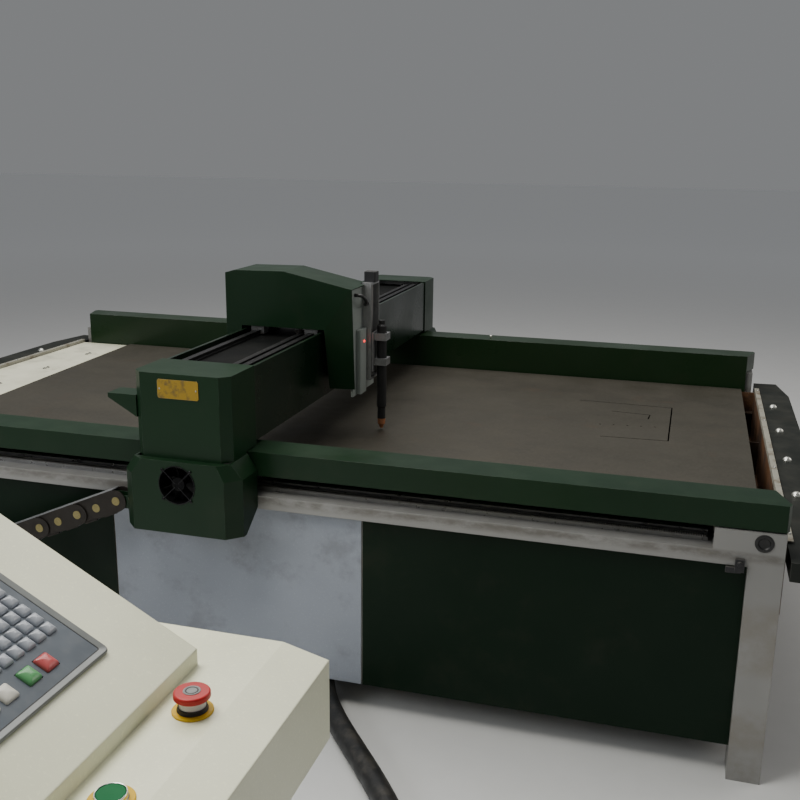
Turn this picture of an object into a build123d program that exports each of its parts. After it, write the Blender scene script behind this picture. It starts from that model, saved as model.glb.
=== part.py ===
from build123d import *
import math
import os

os.makedirs("parts", exist_ok=True)

# Plasma cutting table with a moving gantry, in millimetres.
# The origin is on the floor under the middle of the bed, X runs along the
# table, Y across it and Z up. The near side is at -Y, where the console is.

# Clearances
running_gap = 0.3
bore_clearance = 0.05
cut_through = 1

# Bed
sheet = 3
bed_length = 3314
bed_width = 1796
tank_floor = 450
tank_rim = 640
end_lip_top = 660
end_lip_width = 18
slat_pitch = 100
slat_thickness = 4
slat_height = 90
slat_end_gap = 8
last_slat_gap = 57
slot_depth = 30
comb_positions = (-300, 300)
comb_thickness = 6
ledge_width = 40
ledge_thickness = 4
deck_top = 646
deck_thickness = 5
deck_length = 407
deck_gap = 50

# Steel plate, measured from the deck's edge and from its own far right corner
plate_thickness = 10
plate_width = 1500
plate_far_gap = 10
plate_right_gap = 55
plate_laps = (130, 64, 40)
plate_bend = 1105
outer_cut = ((643, 421), (277, 432), (277, 912), (514, 926))
inner_cut = ((502, 557), (356, 570), (360, 633))
cut_width = 5
pierce_ends = ((529, 764), (330, 740))
pierce_count = 5
pierce_radius = 4

# Table frame
frame_end_inset = 12
frame_overhang = 126
leg_size = 88
tube_wall = 5
side_rail_width = 110
side_rail_height = 40
side_rail_top = 664
panel_inset = 24
panel_bottom = 92
panel_top = 620
panel_thickness = 3
panel_joint = 4
lower_rail_bottom = 100
lower_rail_height = 40
lower_rail_width = 50
post_width = 60
post_positions = (-310, 505)
beam_height = 60
corner_block_length = 177
corner_block_height = 56
corner_hole_radius = 21
corner_hole_inset = 53
foot_width = 70
foot_reach = 76
foot_thickness = 12
anchor_radius = 9

# Side covers
cover_top = 796
cover_width = 120
skirt_bottom = 724
cover_end_inset = 6
cover_inner_inset = 40
cover_outer_inset = 14
cover_nose = 17

# End strips with transfer balls
strip_top = 652
strip_depth = 52
strip_width = 134
strip_overhang = 6
strip_nose = 7
strip_corner_inset = 38
strip_taper_length = 215
ball_radius = 16
ball_rise = 12
ball_inset = 75
ball_pitch = 365
ball_first = -850
balls_per_strip = 5
cup_wall = 6
cup_floor = 7

# Guides and racks along the table
guide_gap = 37
guide_size = 20
guide_end_gap = 13
rack_gap = 33
rack_width = 18
rack_height = 11.5
gear_module = 2
gear_teeth = 20

# Gantry
gantry_x = 12
gantry_beam_width = 284
gantry_beam_height = 200
gantry_beam_wall = 6
beam_clearance = 16
beam_overhang = 6
end_plate_thickness = 12
end_plate_half_width = 146
end_plate_bottom = 645
end_plate_rise = 18
shaft_hole_radius = 12
arm_inner = 60
arm_thickness = 14
block_length = 80
block_width = 44
block_height = 25
block_offset = 103
block_lift = 5
beam_cover_drop = 2
beam_cover_rise = 24
beam_cover_return = 10
cross_guide_height = 18
cross_guide_end_gap = 80
cross_guide_offset = 100
cross_rack_offset = 55
cross_rack_width = 16
cross_rack_height = 15

# Gantry end housings, measured from the beam's end and from the gantry's middle
housing_outward = 110
housing_inward = 70
housing_seam = 792
housing_rise = 28
housing_bevel = 27
cover_clearance = 4
lower_outward = 25
lower_inward = 2
lower_bottom = 575
shoulder = 745
shoulder_left = -190
shoulder_right = 180
shoulder_corner = (40, 40)
seam_half_width = 152
seam_corner = (35, 25)
heel_inset = 56
heel_slope = 0.713
cable_hood = ((-149, 900), (-240, 952), (-240, 965), (-149, 965))
cable_hood_insets = (90, 20)
plaque_x = (-66, 61)
plaque_z = (969, 1024)
plaque_thickness = 2

# Fan
fan_x = -6
fan_z = 723
fan_size = 120
fan_corner = 8
fan_depth = 38
fan_bore = 56
fan_spider_depth = 4
fan_spider_arm = 8
fan_blade_tip = 54
fan_blade_root = (48, 15)
fan_blade_end = (28, 24)
fan_blade_thickness = 2
fan_hub = 20
fan_hub_start = 5
fan_blades = 7
fan_pin = 4
fan_pin_start = 10
vent_radius = 57
guard_rings = (14, 21, 28, 35, 42, 49, 56)
guard_wire = 2
guard_reach = 62

# Motors
motor_size = 86
motor_length = 80
motor_edge = 8
shaft_radius = 8
shaft_depth = 25
drive_z = 698
cross_motor_size = 60
cross_motor_length = 84
cross_motor_edge = 4
cross_shaft_radius = 7
cross_shaft_depth = 20
shaft_end_gap = 2

# Cable chain
chain_pitch = 75
chain_height = 66
chain_outward = 53.5
chain_width = 45
link_wall = 4
strip_thickness = 3
inner_strip_share = 0.6
upper_links = 9
bend_links = 6
lower_links = 10
run_slope = 23.4
chain_pin_reach = 249
chain_stub_radius = 8
chain_head_radius = 13
chain_head = 1.5
lug_half_height = 20
tray_wall = 2
tray_height = 44
tray_side_gap = 9
tray_end = 100
tray_block = 20

# Carriage
carriage_y = -310
carriage_rise = 42
carriage_plate_thickness = 12
carriage_left = -150
carriage_corner = (78, 12)
carriage_block = (48, 40)
carriage_block_lift = 5
carriage_block_spread = 55
cross_gear_width = 12
cross_gear_lift = 2
cross_shaft_gap = 3
hood_front = -400
hood_back = -215
hood_outline = (
    (-199, 1000), (-199, 1228), (-165, 1238), (20, 1241), (266, 1190),
    (266, 838), (178, 838), (166, 1046), (-141, 1046), (-141, 1000),
)
hood_cavity_outline = (
    (-196, 990), (-196, 1226), (-164, 1235), (20, 1238), (270, 1186),
    (270, 830), (170, 830), (160, 1040), (-135, 1040), (-135, 990),
)
hood_notch_right = 280
hood_notch_z = (800, 1260)
facet_points = ((264, -400, 1194), (166, -400, 1042), (222, -375, 838))

# Lift with the torch
mount_x = 250
mount_thickness = 8
mount_outline = ((-394, 1185), (-394, 1172), (-362, 808), (-130, 808), (-130, 1185))
lift_y = -215
lift_axis_x = 276
lift_width = 94
lift_bottom = 850
lift_top = 1196
lift_depth = 32
lift_wall = 4
lift_end = 8
lift_motor = 42
lift_motor_height = 36
screw_radius = 6
screw_journal = 4
screw_end = 10
slide_plate_thickness = 6
slide_plate_half_width = 40
slide_plate_z = (880, 1020)
nut_z = (960, 1010)
nut_half_width = 17
nut_wall = 4
torch_x = 316
torch_radius = 17.5
torch_z = (700, 1060)
torch_neck_step = 3
torch_neck_length = 40
torch_shoulder = 6
torch_cap_height = 14
clamp_z = (900, 990)
clamp_height = 25
clamp_half_width = 26
clamp_wall = 6
nozzle_bore = 1.2
nozzle_profile = ((6, 0), (9, 10), (13.5, 16), (14.5, 36))
nozzle_tip = 664
height_box_y = (-330, -268)
height_box_z = (812, 1040)
height_box_depth = 18
height_box_edge = 3
hose_radius = 6
hose_route = ((258, -345, 1164), (286, -345, 1164), (296, -330, 1142), (277, -292, 1124), (277, -262, 1124))

# Console
console_far = -2540
console_near = -3200
console_bottom = 959
shelf_top = 1080
shelf_fold = 919
desk_front = 978
desk_front_top = 1065
desk_back = 330
raised_far = -2620
raised_front = 845
raised_top = 1100
desk_angle = 28.3
slope_end = 560
pedestal_x = (320, 880)
pedestal_y = (-3180, -2600)
keypad_corner = (-88, 68)
keypad_size = (420, 190)
keypad_radius = 6
keypad_thickness = 3
key_pitch = (18, 17)
key_size = 14.5
key_rise = 5
key_taper = 20
key_columns = 12
key_rows = 5
first_key = (-115.5, 130)
command_key_positions = ((-156, 101), (-184, 101))
command_key_size = 20
command_key_gap = 0.5
command_key_foot = 1
key_travel = 2
wide_key_first = -220
wide_key_pitch = 28
wide_key_count = 4
monitor_height = 350
monitor_lean = 72
monitor_back = 400
screen_half_width = 230
screen_border = 30
screen_overlap = 10
screen_thickness = 6
estop_place = (886, -2710)
start_place = (886, -2868)
legend_radius = 22.5
legend_thickness = 2.4
bezel_wall = 1.2
button_stem = 8
button_stem_length = 26
button_sleeve = 2
button_sleeve_length = 30
estop_bezel_height = 7.3
estop_pocket = 5.6
estop_skirt = 14.5
estop_skirt_seat = 1
estop_cap = 20
estop_cap_bottom = 16.5
estop_cap_height = 7.5
estop_cap_edge = 2.5
estop_cap_underside = 1
start_bezel_height = 9
start_pocket = 8.4
start_cap = 14
start_cap_recess = 0.5
start_cap_height = 3.5
start_cap_edge = 0.8

# Cabinet, conduit
box_x = (245, 475)
box_y = (-690, -540)
box_z = (36, 276)
conduit_radius = 32.5
gland_length = 24
gland_radius = 46
gland_taper = 12
conduit_route = (
    (335, -714, 84), (335, -820, 84), (351, -925, 64), (403, -1035, 42), (480, -1140, 34),
    (576, -1258, 35), (682, -1390, 34), (790, -1545, 34), (862, -1725, 34), (884, -1915, 34),
    (862, -2085, 34), (815, -2230, 37), (760, -2350, 50), (730, -2465, 62), (730, -2576, 62),
)

# Values that follow from these
bed_end = bed_length / 2
bed_side = bed_width / 2
tank_bottom = tank_floor - sheet
slat_half_length = bed_side - slat_end_gap
slat_top = deck_top
slat_bottom = slat_top - slat_height
comb_top = slat_bottom + slot_depth
deck_right = deck_length - bed_end
first_slat = deck_right + deck_gap
slat_count = int((bed_end - last_slat_gap - first_slat) / slat_pitch) + 1
plate_far = slat_half_length - plate_far_gap
plate_near = plate_far - plate_width
plate_right = bed_end - plate_right_gap
frame_end = bed_end - frame_end_inset
frame_side = bed_side + frame_overhang
leg_inner = frame_end - leg_size
rail_face = frame_side - panel_inset
side_rail_bottom = side_rail_top - side_rail_height
lower_rail_top = lower_rail_bottom + lower_rail_height
cover_outer = bed_side + cover_width
cover_end = bed_end - cover_end_inset
cover_inner_end = bed_end - cover_inner_inset
cover_outer_end = bed_end - cover_outer_inset
strip_wall = bed_end + sheet
strip_outer = bed_end + strip_width
strip_side = frame_side + strip_overhang
ball_row = strip_outer - ball_inset
guide_y = bed_side + guide_gap
guide_length = 2 * (frame_end - corner_block_length - guide_end_gap)
rack_y = guide_y + rack_gap
rack_top = side_rail_top + rack_height
pinion_radius = gear_module * gear_teeth / 2
guide_block_top = side_rail_top + block_lift + block_height
beam_half = gantry_beam_width / 2
beam_bottom = cover_top + beam_clearance
beam_top = beam_bottom + gantry_beam_height
beam_end = frame_side + beam_overhang
beam_cover_bottom = beam_bottom - beam_cover_drop
beam_cover_top = beam_top + beam_cover_rise
end_plate_outer = beam_end + end_plate_thickness
end_plate_top = beam_top + end_plate_rise
cross_guide_length = 2 * (beam_end - cross_guide_end_gap)
housing_half_width = end_plate_half_width + sheet
housing_front = beam_end + housing_outward
housing_back = beam_end - housing_inward
housing_top = beam_top + housing_rise
cover_clearance_z = cover_top + cover_clearance
lower_front = housing_front + lower_outward
lower_back = beam_end - lower_inward
heel_start = lower_front - heel_inset
cable_hood_y = [housing_front - inset for inset in cable_hood_insets]
motor_face = end_plate_outer + motor_length
chain_y = -frame_side - chain_outward
chain_pin_x = gantry_x - chain_pin_reach
cross_pinion_x = gantry_x + cross_rack_offset - 1.25 * gear_module - pinion_radius
carriage_plate_z = beam_top + carriage_rise
carriage_plate_top = carriage_plate_z + carriage_plate_thickness
carriage_block_bottom = beam_top + carriage_block_lift
mount_face = mount_x + mount_thickness
lift_front = mount_face + lift_depth
slide_face = lift_front + running_gap
slide_front = slide_face + slide_plate_thickness
desk_slope = math.radians(desk_angle)
slope_top = raised_top + (raised_front - slope_end) * math.tan(desk_slope)
estop_bezel_top = shelf_top + estop_bezel_height
start_bezel_top = shelf_top + start_bezel_height
desk_plane = Plane(
    origin=(raised_front, raised_far, raised_top),
    x_dir=(0, 1, 0),
    z_dir=(math.sin(desk_slope), 0, math.cos(desk_slope)),
)


def block(x, y, z, mode=Mode.ADD):
    """A rectangular block between two values on each axis."""
    centre = (sum(x) / 2, sum(y) / 2, sum(z) / 2)
    with Locations(centre):
        Box(abs(x[1] - x[0]), abs(y[1] - y[0]), abs(z[1] - z[0]), mode=mode)


def prism(plane, points, depth, mode=Mode.ADD):
    """A polygon on a plane, drawn out by a depth."""
    with BuildSketch(plane) as outline:
        with BuildLine():
            Polyline(*points, close=True)
        make_face()
    extrude(outline.sketch, amount=depth, mode=mode)


def rod(start, end, radius, mode=Mode.ADD):
    """A round bar from one point to another."""
    axis = Vector(*end) - Vector(*start)
    with BuildSketch(Plane(origin=start, z_dir=axis)) as section:
        Circle(radius)
    extrude(section.sketch, amount=axis.length, mode=mode)


def bore(start, end, radius, overshoot=cut_through):
    """A round hole from one point to another, cut a little past both."""
    reach = (Vector(*end) - Vector(*start)).normalized() * overshoot
    rod(tuple(Vector(*start) - reach), tuple(Vector(*end) + reach), radius, Mode.SUBTRACT)


def between(middle, half):
    """The two values at half a width on either side of a middle."""
    return (middle - half, middle + half)


def gear_points(teeth, module):
    """The outline of a spur gear, four points to a tooth."""
    pitch_radius = teeth * module / 2
    root = pitch_radius - 1.25 * module
    tip = pitch_radius + module
    points = []
    for tooth in range(teeth):
        for share, radius in ((-0.36, root), (-0.12, tip), (0.12, tip), (0.36, root)):
            angle = math.tau * (tooth + share) / teeth
            points.append((radius * math.cos(angle), radius * math.sin(angle)))
    return points


# Side frames: rail, legs, posts and feet, welded

with BuildPart() as near_side_frame:
    rail_inside = side_rail_width - frame_side
    block((-frame_end, frame_end), (-frame_side, rail_inside), (side_rail_bottom, side_rail_top))
    inner_face = lower_rail_width - rail_face
    block((-leg_inner, leg_inner), (-rail_face, inner_face), (lower_rail_bottom, lower_rail_top))
    for x in post_positions:
        block(between(x, post_width / 2), (-rail_face, inner_face), (lower_rail_top, side_rail_bottom))
    # The lower rail and the posts are channels, open to the inside
    hollow = (tube_wall - rail_face, inner_face)
    lower_hollow = (lower_rail_bottom + tube_wall, lower_rail_top - tube_wall)
    block((-leg_inner, leg_inner), hollow, lower_hollow, Mode.SUBTRACT)
    post_z = (lower_rail_top, side_rail_bottom)
    for x in post_positions:
        block(between(x, post_width / 2 - tube_wall), hollow, post_z, Mode.SUBTRACT)
    for end in (-1, 1):
        outer = end * frame_end
        leg_inside = leg_size - frame_side
        block((outer, outer - end * leg_size), (-frame_side, leg_inside), (0, side_rail_bottom))
        block(
            (outer - end * tube_wall, outer - end * (leg_size - tube_wall)),
            (tube_wall - frame_side, leg_inside - tube_wall),
            (0, side_rail_bottom),
            Mode.SUBTRACT,
        )
        block((outer, outer - end * foot_width), (leg_inside, leg_inside + foot_reach), (0, foot_thickness))
        corner_end = outer - end * corner_block_length
        corner_top = side_rail_top + corner_block_height
        block((outer, corner_end), (-frame_side, rail_inside), (side_rail_top, corner_top))
        block(
            (outer - end * tube_wall, corner_end),
            (tube_wall - frame_side, rail_inside - tube_wall),
            (side_rail_top + tube_wall, corner_top - tube_wall),
            Mode.SUBTRACT,
        )
        hole_x = outer - end * corner_hole_inset
        hole_z = side_rail_top + corner_block_height / 2
        bore((hole_x, -frame_side, hole_z), (hole_x, tube_wall - frame_side, hole_z), corner_hole_radius)
        anchor = (outer - end * foot_width / 2, leg_inside + foot_reach / 2)
        bore((*anchor, 0), (*anchor, foot_thickness), anchor_radius)
    block(
        (-frame_end, frame_end),
        (tube_wall - frame_side, rail_inside - tube_wall),
        (side_rail_bottom + tube_wall, side_rail_top - tube_wall),
        Mode.SUBTRACT,
    )
near_side_frame.part.label = "near_side_frame"
export_step(near_side_frame.part, "parts/near_side_frame.step")

with BuildPart() as far_side_frame:
    mirror(near_side_frame.part, about=Plane.XZ)
far_side_frame.part.label = "far_side_frame"
export_step(far_side_frame.part, "parts/far_side_frame.step")


# Cross members between the side frames: square tubes

with BuildPart() as cross_members:
    end_beam = frame_end - panel_inset - beam_height / 2
    post_reach = rail_face - lower_rail_width
    leg_reach = frame_side - leg_size
    beam_places = [(-end_beam, leg_reach), (end_beam, leg_reach)] + [(x, post_reach) for x in post_positions]
    for x, reach in beam_places:
        for bottom, top in ((lower_rail_bottom, lower_rail_top), (tank_bottom - beam_height, tank_bottom)):
            block(between(x, beam_height / 2), (-reach, reach), (bottom, top))
            block(
                between(x, beam_height / 2 - tube_wall),
                (-reach, reach),
                (bottom + tube_wall, top - tube_wall),
                Mode.SUBTRACT,
            )
cross_members.part.label = "cross_members"
export_step(cross_members.part, "parts/cross_members.step")


# Side and end panels of folded sheet, lying on the rails

def side_panel(left, right):
    """A panel on the near side between two places along the table."""
    face = -rail_face - panel_thickness
    block((left, right), (face, -rail_face), (panel_bottom, panel_top))


with BuildPart() as white_panel:
    side_panel(post_positions[0] + panel_joint / 2, post_positions[1] - panel_joint / 2)
white_panel.part.label = "white_panel"
export_step(white_panel.part, "parts/white_panel.step")

with BuildPart() as near_green_panels:
    side_panel(post_positions[1] + panel_joint / 2, leg_inner)
    side_panel(-leg_inner, post_positions[0] - panel_joint / 2)

with BuildPart() as green_panels:
    add(near_green_panels.part)
    mirror(near_green_panels.part, about=Plane.XZ)
    mirror(white_panel.part, about=Plane.XZ)
    end_face = frame_end - panel_inset
    for end in (-1, 1):
        block(
            (end * end_face, end * (end_face + panel_thickness)),
            (leg_size - frame_side, frame_side - leg_size),
            (panel_bottom, tank_bottom),
        )
green_panels.part.label = "green_panels"
export_step(green_panels.part, "parts/green_panels.step")


# Slag tank: an open tray with raised ends and turned lips

with BuildPart() as slag_tray:
    tank_side = bed_side + sheet
    block((-strip_wall, strip_wall), (-tank_side, tank_side), (tank_bottom, tank_rim))
    block((-bed_end, bed_end), (-bed_side, bed_side), (tank_floor, tank_rim), Mode.SUBTRACT)
    for end in (-1, 1):
        block((end * bed_end, end * strip_wall), (-bed_side, bed_side), (tank_rim, end_lip_top))
        block(
            (end * bed_end, end * (bed_end + end_lip_width)),
            (-bed_side, bed_side),
            (end_lip_top - sheet, end_lip_top),
        )
slag_tray.part.label = "slag_tray"
export_step(slag_tray.part, "parts/slag_tray.step")


# Comb plates and ledges that carry the slats

slat_places = [first_slat + slat_pitch * index for index in range(slat_count)]

with BuildPart() as slat_supports:
    comb_end = bed_end - slat_thickness
    for y in comb_positions:
        block((-comb_end, comb_end), between(y, comb_thickness / 2), (tank_floor, comb_top))
    slot_half = slat_thickness / 2 + running_gap
    slot_z = (slat_bottom, comb_top + cut_through)
    for x in slat_places:
        block(between(x, slot_half), (-bed_side / 2, bed_side / 2), slot_z, Mode.SUBTRACT)
    for side in (-1, 1):
        wall = side * bed_side
        for width, height in ((ledge_width, ledge_thickness), (ledge_thickness, ledge_width)):
            block((-bed_end, bed_end), (wall, wall - side * width), (slat_bottom - height, slat_bottom))
slat_supports.part.label = "slat_supports"
export_step(slat_supports.part, "parts/slat_supports.step")

with BuildPart() as slats:
    for x in slat_places:
        block(between(x, slat_thickness / 2), (-slat_half_length, slat_half_length), (slat_bottom, slat_top))
slats.part.label = "slats"
export_step(slats.part, "parts/slats.step")


# Deck plate at the left end of the bed, folded down at both edges

with BuildPart() as left_deck:
    deck_left = -bed_end + deck_thickness
    block((deck_left, deck_right), (-slat_half_length, slat_half_length), (comb_top, deck_top))
    block(
        (deck_left + deck_thickness, deck_right - deck_thickness),
        (-slat_half_length, slat_half_length),
        (comb_top, deck_top - deck_thickness),
        Mode.SUBTRACT,
    )
left_deck.part.label = "left_deck"
export_step(left_deck.part, "parts/left_deck.step")


# Steel plate on the slats, with the cuts that are under way and a row of pierced holes

def from_corner(left, down):
    """A place on the plate, measured from its far right corner."""
    return (plate_right - left, plate_far - down)


with BuildPart() as steel_plate:
    plate_outline = [
        (deck_right - plate_laps[0], plate_far),
        (deck_right - plate_laps[1], plate_far - plate_bend),
        (deck_right - plate_laps[2], plate_near),
        (plate_right, plate_near),
        (plate_right, plate_far),
    ]
    prism(Plane.XY.offset(slat_top), plate_outline, plate_thickness)
    for cut in (outer_cut, inner_cut):
        with BuildSketch(Plane.XY.offset(slat_top)):
            with BuildLine():
                Polyline(*[from_corner(*place) for place in cut])
            trace(line_width=cut_width)
        extrude(amount=plate_thickness, mode=Mode.SUBTRACT)
    first, last = [Vector(*from_corner(*place), slat_top) for place in pierce_ends]
    for index in range(pierce_count):
        place = first + (last - first) * (index / (pierce_count - 1))
        bore(tuple(place), (place.X, place.Y, slat_top + plate_thickness), pierce_radius)
steel_plate.part.label = "steel_plate"
export_step(steel_plate.part, "parts/steel_plate.step")


# Covers over the guides: folded sheet, open below, with a short outer skirt

cover_plan = [
    (cover_inner_end, -bed_side),
    (cover_end, cover_nose - cover_outer),
    (cover_outer_end, -cover_outer),
    (-cover_outer_end, -cover_outer),
    (-cover_end, cover_nose - cover_outer),
    (-cover_inner_end, -bed_side),
]

with BuildPart() as near_cover:
    prism(Plane.XY.offset(tank_rim), cover_plan, cover_top - tank_rim)
    with BuildSketch(Plane.XY.offset(tank_rim)):
        with BuildLine():
            Polyline(*cover_plan, close=True)
        make_face()
        offset(amount=-sheet, kind=Kind.INTERSECTION)
    extrude(amount=cover_top - tank_rim - sheet, mode=Mode.SUBTRACT)
    skirt_y = (-cover_outer - cut_through, -tank_side)
    block(between(0, cover_end + cut_through), skirt_y, (tank_rim, skirt_bottom), Mode.SUBTRACT)
near_cover.part.label = "near_cover"
export_step(near_cover.part, "parts/near_cover.step")

with BuildPart() as far_cover:
    mirror(near_cover.part, about=Plane.XZ)
far_cover.part.label = "far_cover"
export_step(far_cover.part, "parts/far_cover.step")


# End strips: folded sheet with cups for the transfer balls

ball_places = [ball_first + ball_pitch * index for index in range(balls_per_strip)]
ball_z = strip_top + ball_rise - ball_radius
strip_taper = strip_side - strip_taper_length
strip_corner_x = strip_outer - strip_corner_inset
strip_plan = [
    (strip_wall, -strip_side),
    (strip_corner_x, -strip_side - strip_nose),
    (strip_outer, -strip_taper),
    (strip_outer, strip_taper),
    (strip_corner_x, strip_side + strip_nose),
    (strip_wall, strip_side),
]

with BuildPart() as right_strip:
    prism(Plane.XY.offset(strip_top - strip_depth), strip_plan, strip_depth)
    with BuildSketch(Plane.XY.offset(strip_top - strip_depth)):
        with BuildLine():
            Polyline(*strip_plan, close=True)
        make_face()
        offset(amount=-sheet, kind=Kind.INTERSECTION)
    extrude(amount=strip_depth - sheet, mode=Mode.SUBTRACT)
    for y in ball_places:
        cup_bottom = ball_z - ball_radius - cup_floor
        rod((ball_row, y, cup_bottom), (ball_row, y, strip_top - sheet), ball_radius + cup_wall)
    with Locations([(ball_row, y, ball_z) for y in ball_places]):
        Sphere(ball_radius + running_gap, mode=Mode.SUBTRACT)

with BuildPart() as end_strips:
    add(right_strip.part)
    mirror(right_strip.part, about=Plane.YZ)
end_strips.part.label = "end_strips"
export_step(end_strips.part, "parts/end_strips.step")

with BuildPart() as transfer_balls:
    with Locations([(end * ball_row, y, ball_z) for end in (-1, 1) for y in ball_places]):
        Sphere(ball_radius)
transfer_balls.part.label = "transfer_balls"
export_step(transfer_balls.part, "parts/transfer_balls.step")


# Guides and rack bars along the table

def guide_profile(width, height):
    """The section of a guide rail, waisted on both sides."""
    half = width / 2
    waist = half - width / 8
    return [
        (-half, 0), (half, 0), (half, height * 0.3), (waist, height * 0.42), (waist, height * 0.6),
        (half, height * 0.72), (half, height), (-half, height), (-half, height * 0.72),
        (-waist, height * 0.6), (-waist, height * 0.42), (-half, height * 0.3),
    ]


with BuildPart() as x_guides:
    guide_end = guide_length / 2
    for side in (-1, 1):
        section = Plane(origin=(-guide_end, side * guide_y, side_rail_top), x_dir=(0, 1, 0), z_dir=(1, 0, 0))
        prism(section, guide_profile(guide_size, guide_size), guide_length)
        block((-guide_end, guide_end), between(side * rack_y, rack_width / 2), (side_rail_top, rack_top))
x_guides.part.label = "x_guides"
export_step(x_guides.part, "parts/x_guides.step")


# Gantry beam: a box tube with its covers, end plates and cross guides

def across(plane_x, z, y):
    """A plane at one place, facing along Y, whose x runs along the table."""
    return Plane(origin=(plane_x, y, z), x_dir=(1, 0, 0), z_dir=(0, 1, 0))


with BuildPart() as beam:
    block(between(gantry_x, beam_half), (-beam_end, beam_end), (beam_bottom, beam_top))
    block(
        between(gantry_x, beam_half - gantry_beam_wall),
        (-beam_end, beam_end),
        (beam_bottom + gantry_beam_wall, beam_top - gantry_beam_wall),
        Mode.SUBTRACT,
    )
beam.part.label = "beam"
export_step(beam.part, "parts/beam.step")

with BuildPart() as beam_covers:
    reach = housing_back - lower_inward
    for side in (-1, 1):
        inner = gantry_x + side * beam_half
        outer = inner + side * sheet
        folded = outer - side * beam_cover_return
        block((inner, outer), (-reach, reach), (beam_cover_bottom, beam_cover_top))
        block((folded, outer), (-reach, reach), (beam_cover_top - sheet, beam_cover_top))
beam_covers.part.label = "beam_covers"
export_step(beam_covers.part, "parts/beam_covers.step")

with BuildPart() as end_plates:
    for side in (-1, 1):
        left = gantry_x - end_plate_half_width
        right = gantry_x + end_plate_half_width
        block((left, right), (side * beam_end, side * end_plate_outer), (end_plate_bottom, end_plate_top))
        arm_y = (side * (guide_y - block_width / 2), side * beam_end)
        arm_z = (guide_block_top, guide_block_top + arm_thickness)
        for edge, inner in ((left, gantry_x - arm_inner), (right, gantry_x + arm_inner)):
            block((edge, inner), arm_y, arm_z)
        hole_start = (gantry_x, side * beam_end, drive_z)
        bore(hole_start, (gantry_x, side * end_plate_outer, drive_z), shaft_hole_radius)
end_plates.part.label = "end_plates"
export_step(end_plates.part, "parts/end_plates.step")

with BuildPart() as x_guide_blocks:
    for side in (-1, 1):
        for offset_x in (-block_offset, block_offset):
            x = gantry_x + offset_x
            y = side * guide_y
            bottom = guide_block_top - block_height
            block(between(x, block_length / 2), between(y, block_width / 2), (bottom, guide_block_top))
            groove_top = side_rail_top + guide_size + running_gap
            groove = between(y, guide_size / 2 + running_gap)
            block(between(x, block_length / 2), groove, (bottom, groove_top), Mode.SUBTRACT)
x_guide_blocks.part.label = "x_guide_blocks"
export_step(x_guide_blocks.part, "parts/x_guide_blocks.step")

with BuildPart() as y_guides:
    for offset_x in (-cross_guide_offset, cross_guide_offset):
        section = Plane(
            origin=(gantry_x + offset_x, cross_guide_length / 2, beam_top),
            x_dir=(1, 0, 0),
            z_dir=(0, -1, 0),
        )
        prism(section, guide_profile(guide_size, cross_guide_height), cross_guide_length)
    rack_x = gantry_x + cross_rack_offset
    rack_z = (beam_top, beam_top + cross_rack_height)
    block((rack_x, rack_x + cross_rack_width), between(0, cross_guide_length / 2), rack_z)
y_guides.part.label = "y_guides"
export_step(y_guides.part, "parts/y_guides.step")


# End housings of the gantry: an upper cover on a wider lower one

with BuildPart() as near_upper_housing:
    width = between(gantry_x, housing_half_width)
    block(width, (-housing_front, -housing_back), (housing_seam, housing_top))
    front_edges = near_upper_housing.edges().filter_by(Axis.Z).group_by(Axis.Y)[0]
    chamfer(front_edges, length=housing_bevel)
    faces = near_upper_housing.faces()
    offset(amount=-sheet, openings=[faces.sort_by(Axis.Z)[0], faces.sort_by(Axis.Y)[-1]])
    block(width, (-lower_back, -housing_back), (housing_seam, cover_clearance_z), Mode.SUBTRACT)
    hood_inner, hood_outer = cable_hood_y
    prism(across(gantry_x, 0, -hood_outer), [(x, -z) for x, z in cable_hood], hood_outer - hood_inner)
near_upper_housing.part.label = "near_upper_housing"
export_step(near_upper_housing.part, "parts/near_upper_housing.step")


def housing_plan(left, right, corner):
    """The plan of the lower housing at one height, with its two front corners cut."""
    along, inward = corner
    left += gantry_x
    right += gantry_x
    return [
        (left, -lower_back),
        (left, inward - lower_front),
        (left + along, -lower_front),
        (right - along, -lower_front),
        (right, inward - lower_front),
        (right, -lower_back),
    ]


shoulder_plan = housing_plan(shoulder_left, shoulder_right, shoulder_corner)
seam_plan = housing_plan(-seam_half_width, seam_half_width, seam_corner)
housing_left = gantry_x + shoulder_left
housing_right = gantry_x + shoulder_right


def plan_sketch(plan, height, inset):
    """A plan as a sketch at a height, made smaller on each side by inset."""
    with BuildSketch(Plane.XY.offset(height)) as section:
        with BuildLine():
            Polyline(*plan, close=True)
        make_face()
        offset(amount=-inset, kind=Kind.INTERSECTION)
    return section.sketch


def lower_body(inset, back, floor, heel_lift):
    """The solid form of the lower housing, made smaller on each side by inset."""
    with BuildPart() as body:
        extrude(plan_sketch(shoulder_plan, floor, inset), amount=shoulder - floor)
        shoulder_section = plan_sketch(shoulder_plan, shoulder, inset)
        seam_section = plan_sketch(seam_plan, housing_seam - inset, inset)
        loft([shoulder_section.face(), seam_section.face()])
        heel_back = cut_through - back
        heel_bottom = lower_bottom - cut_through
        heel_top = lower_bottom + heel_lift + heel_slope * (heel_start - back)
        heel = [
            (-heel_start, heel_bottom + heel_lift),
            (heel_back, heel_top),
            (heel_back, heel_bottom),
            (-heel_start, heel_bottom),
        ]
        heel_plane = Plane(origin=(housing_left - cut_through, 0, 0), x_dir=(0, 1, 0), z_dir=(1, 0, 0))
        prism(heel_plane, heel, housing_right - housing_left + 2 * cut_through, Mode.SUBTRACT)
    return body.part


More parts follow.
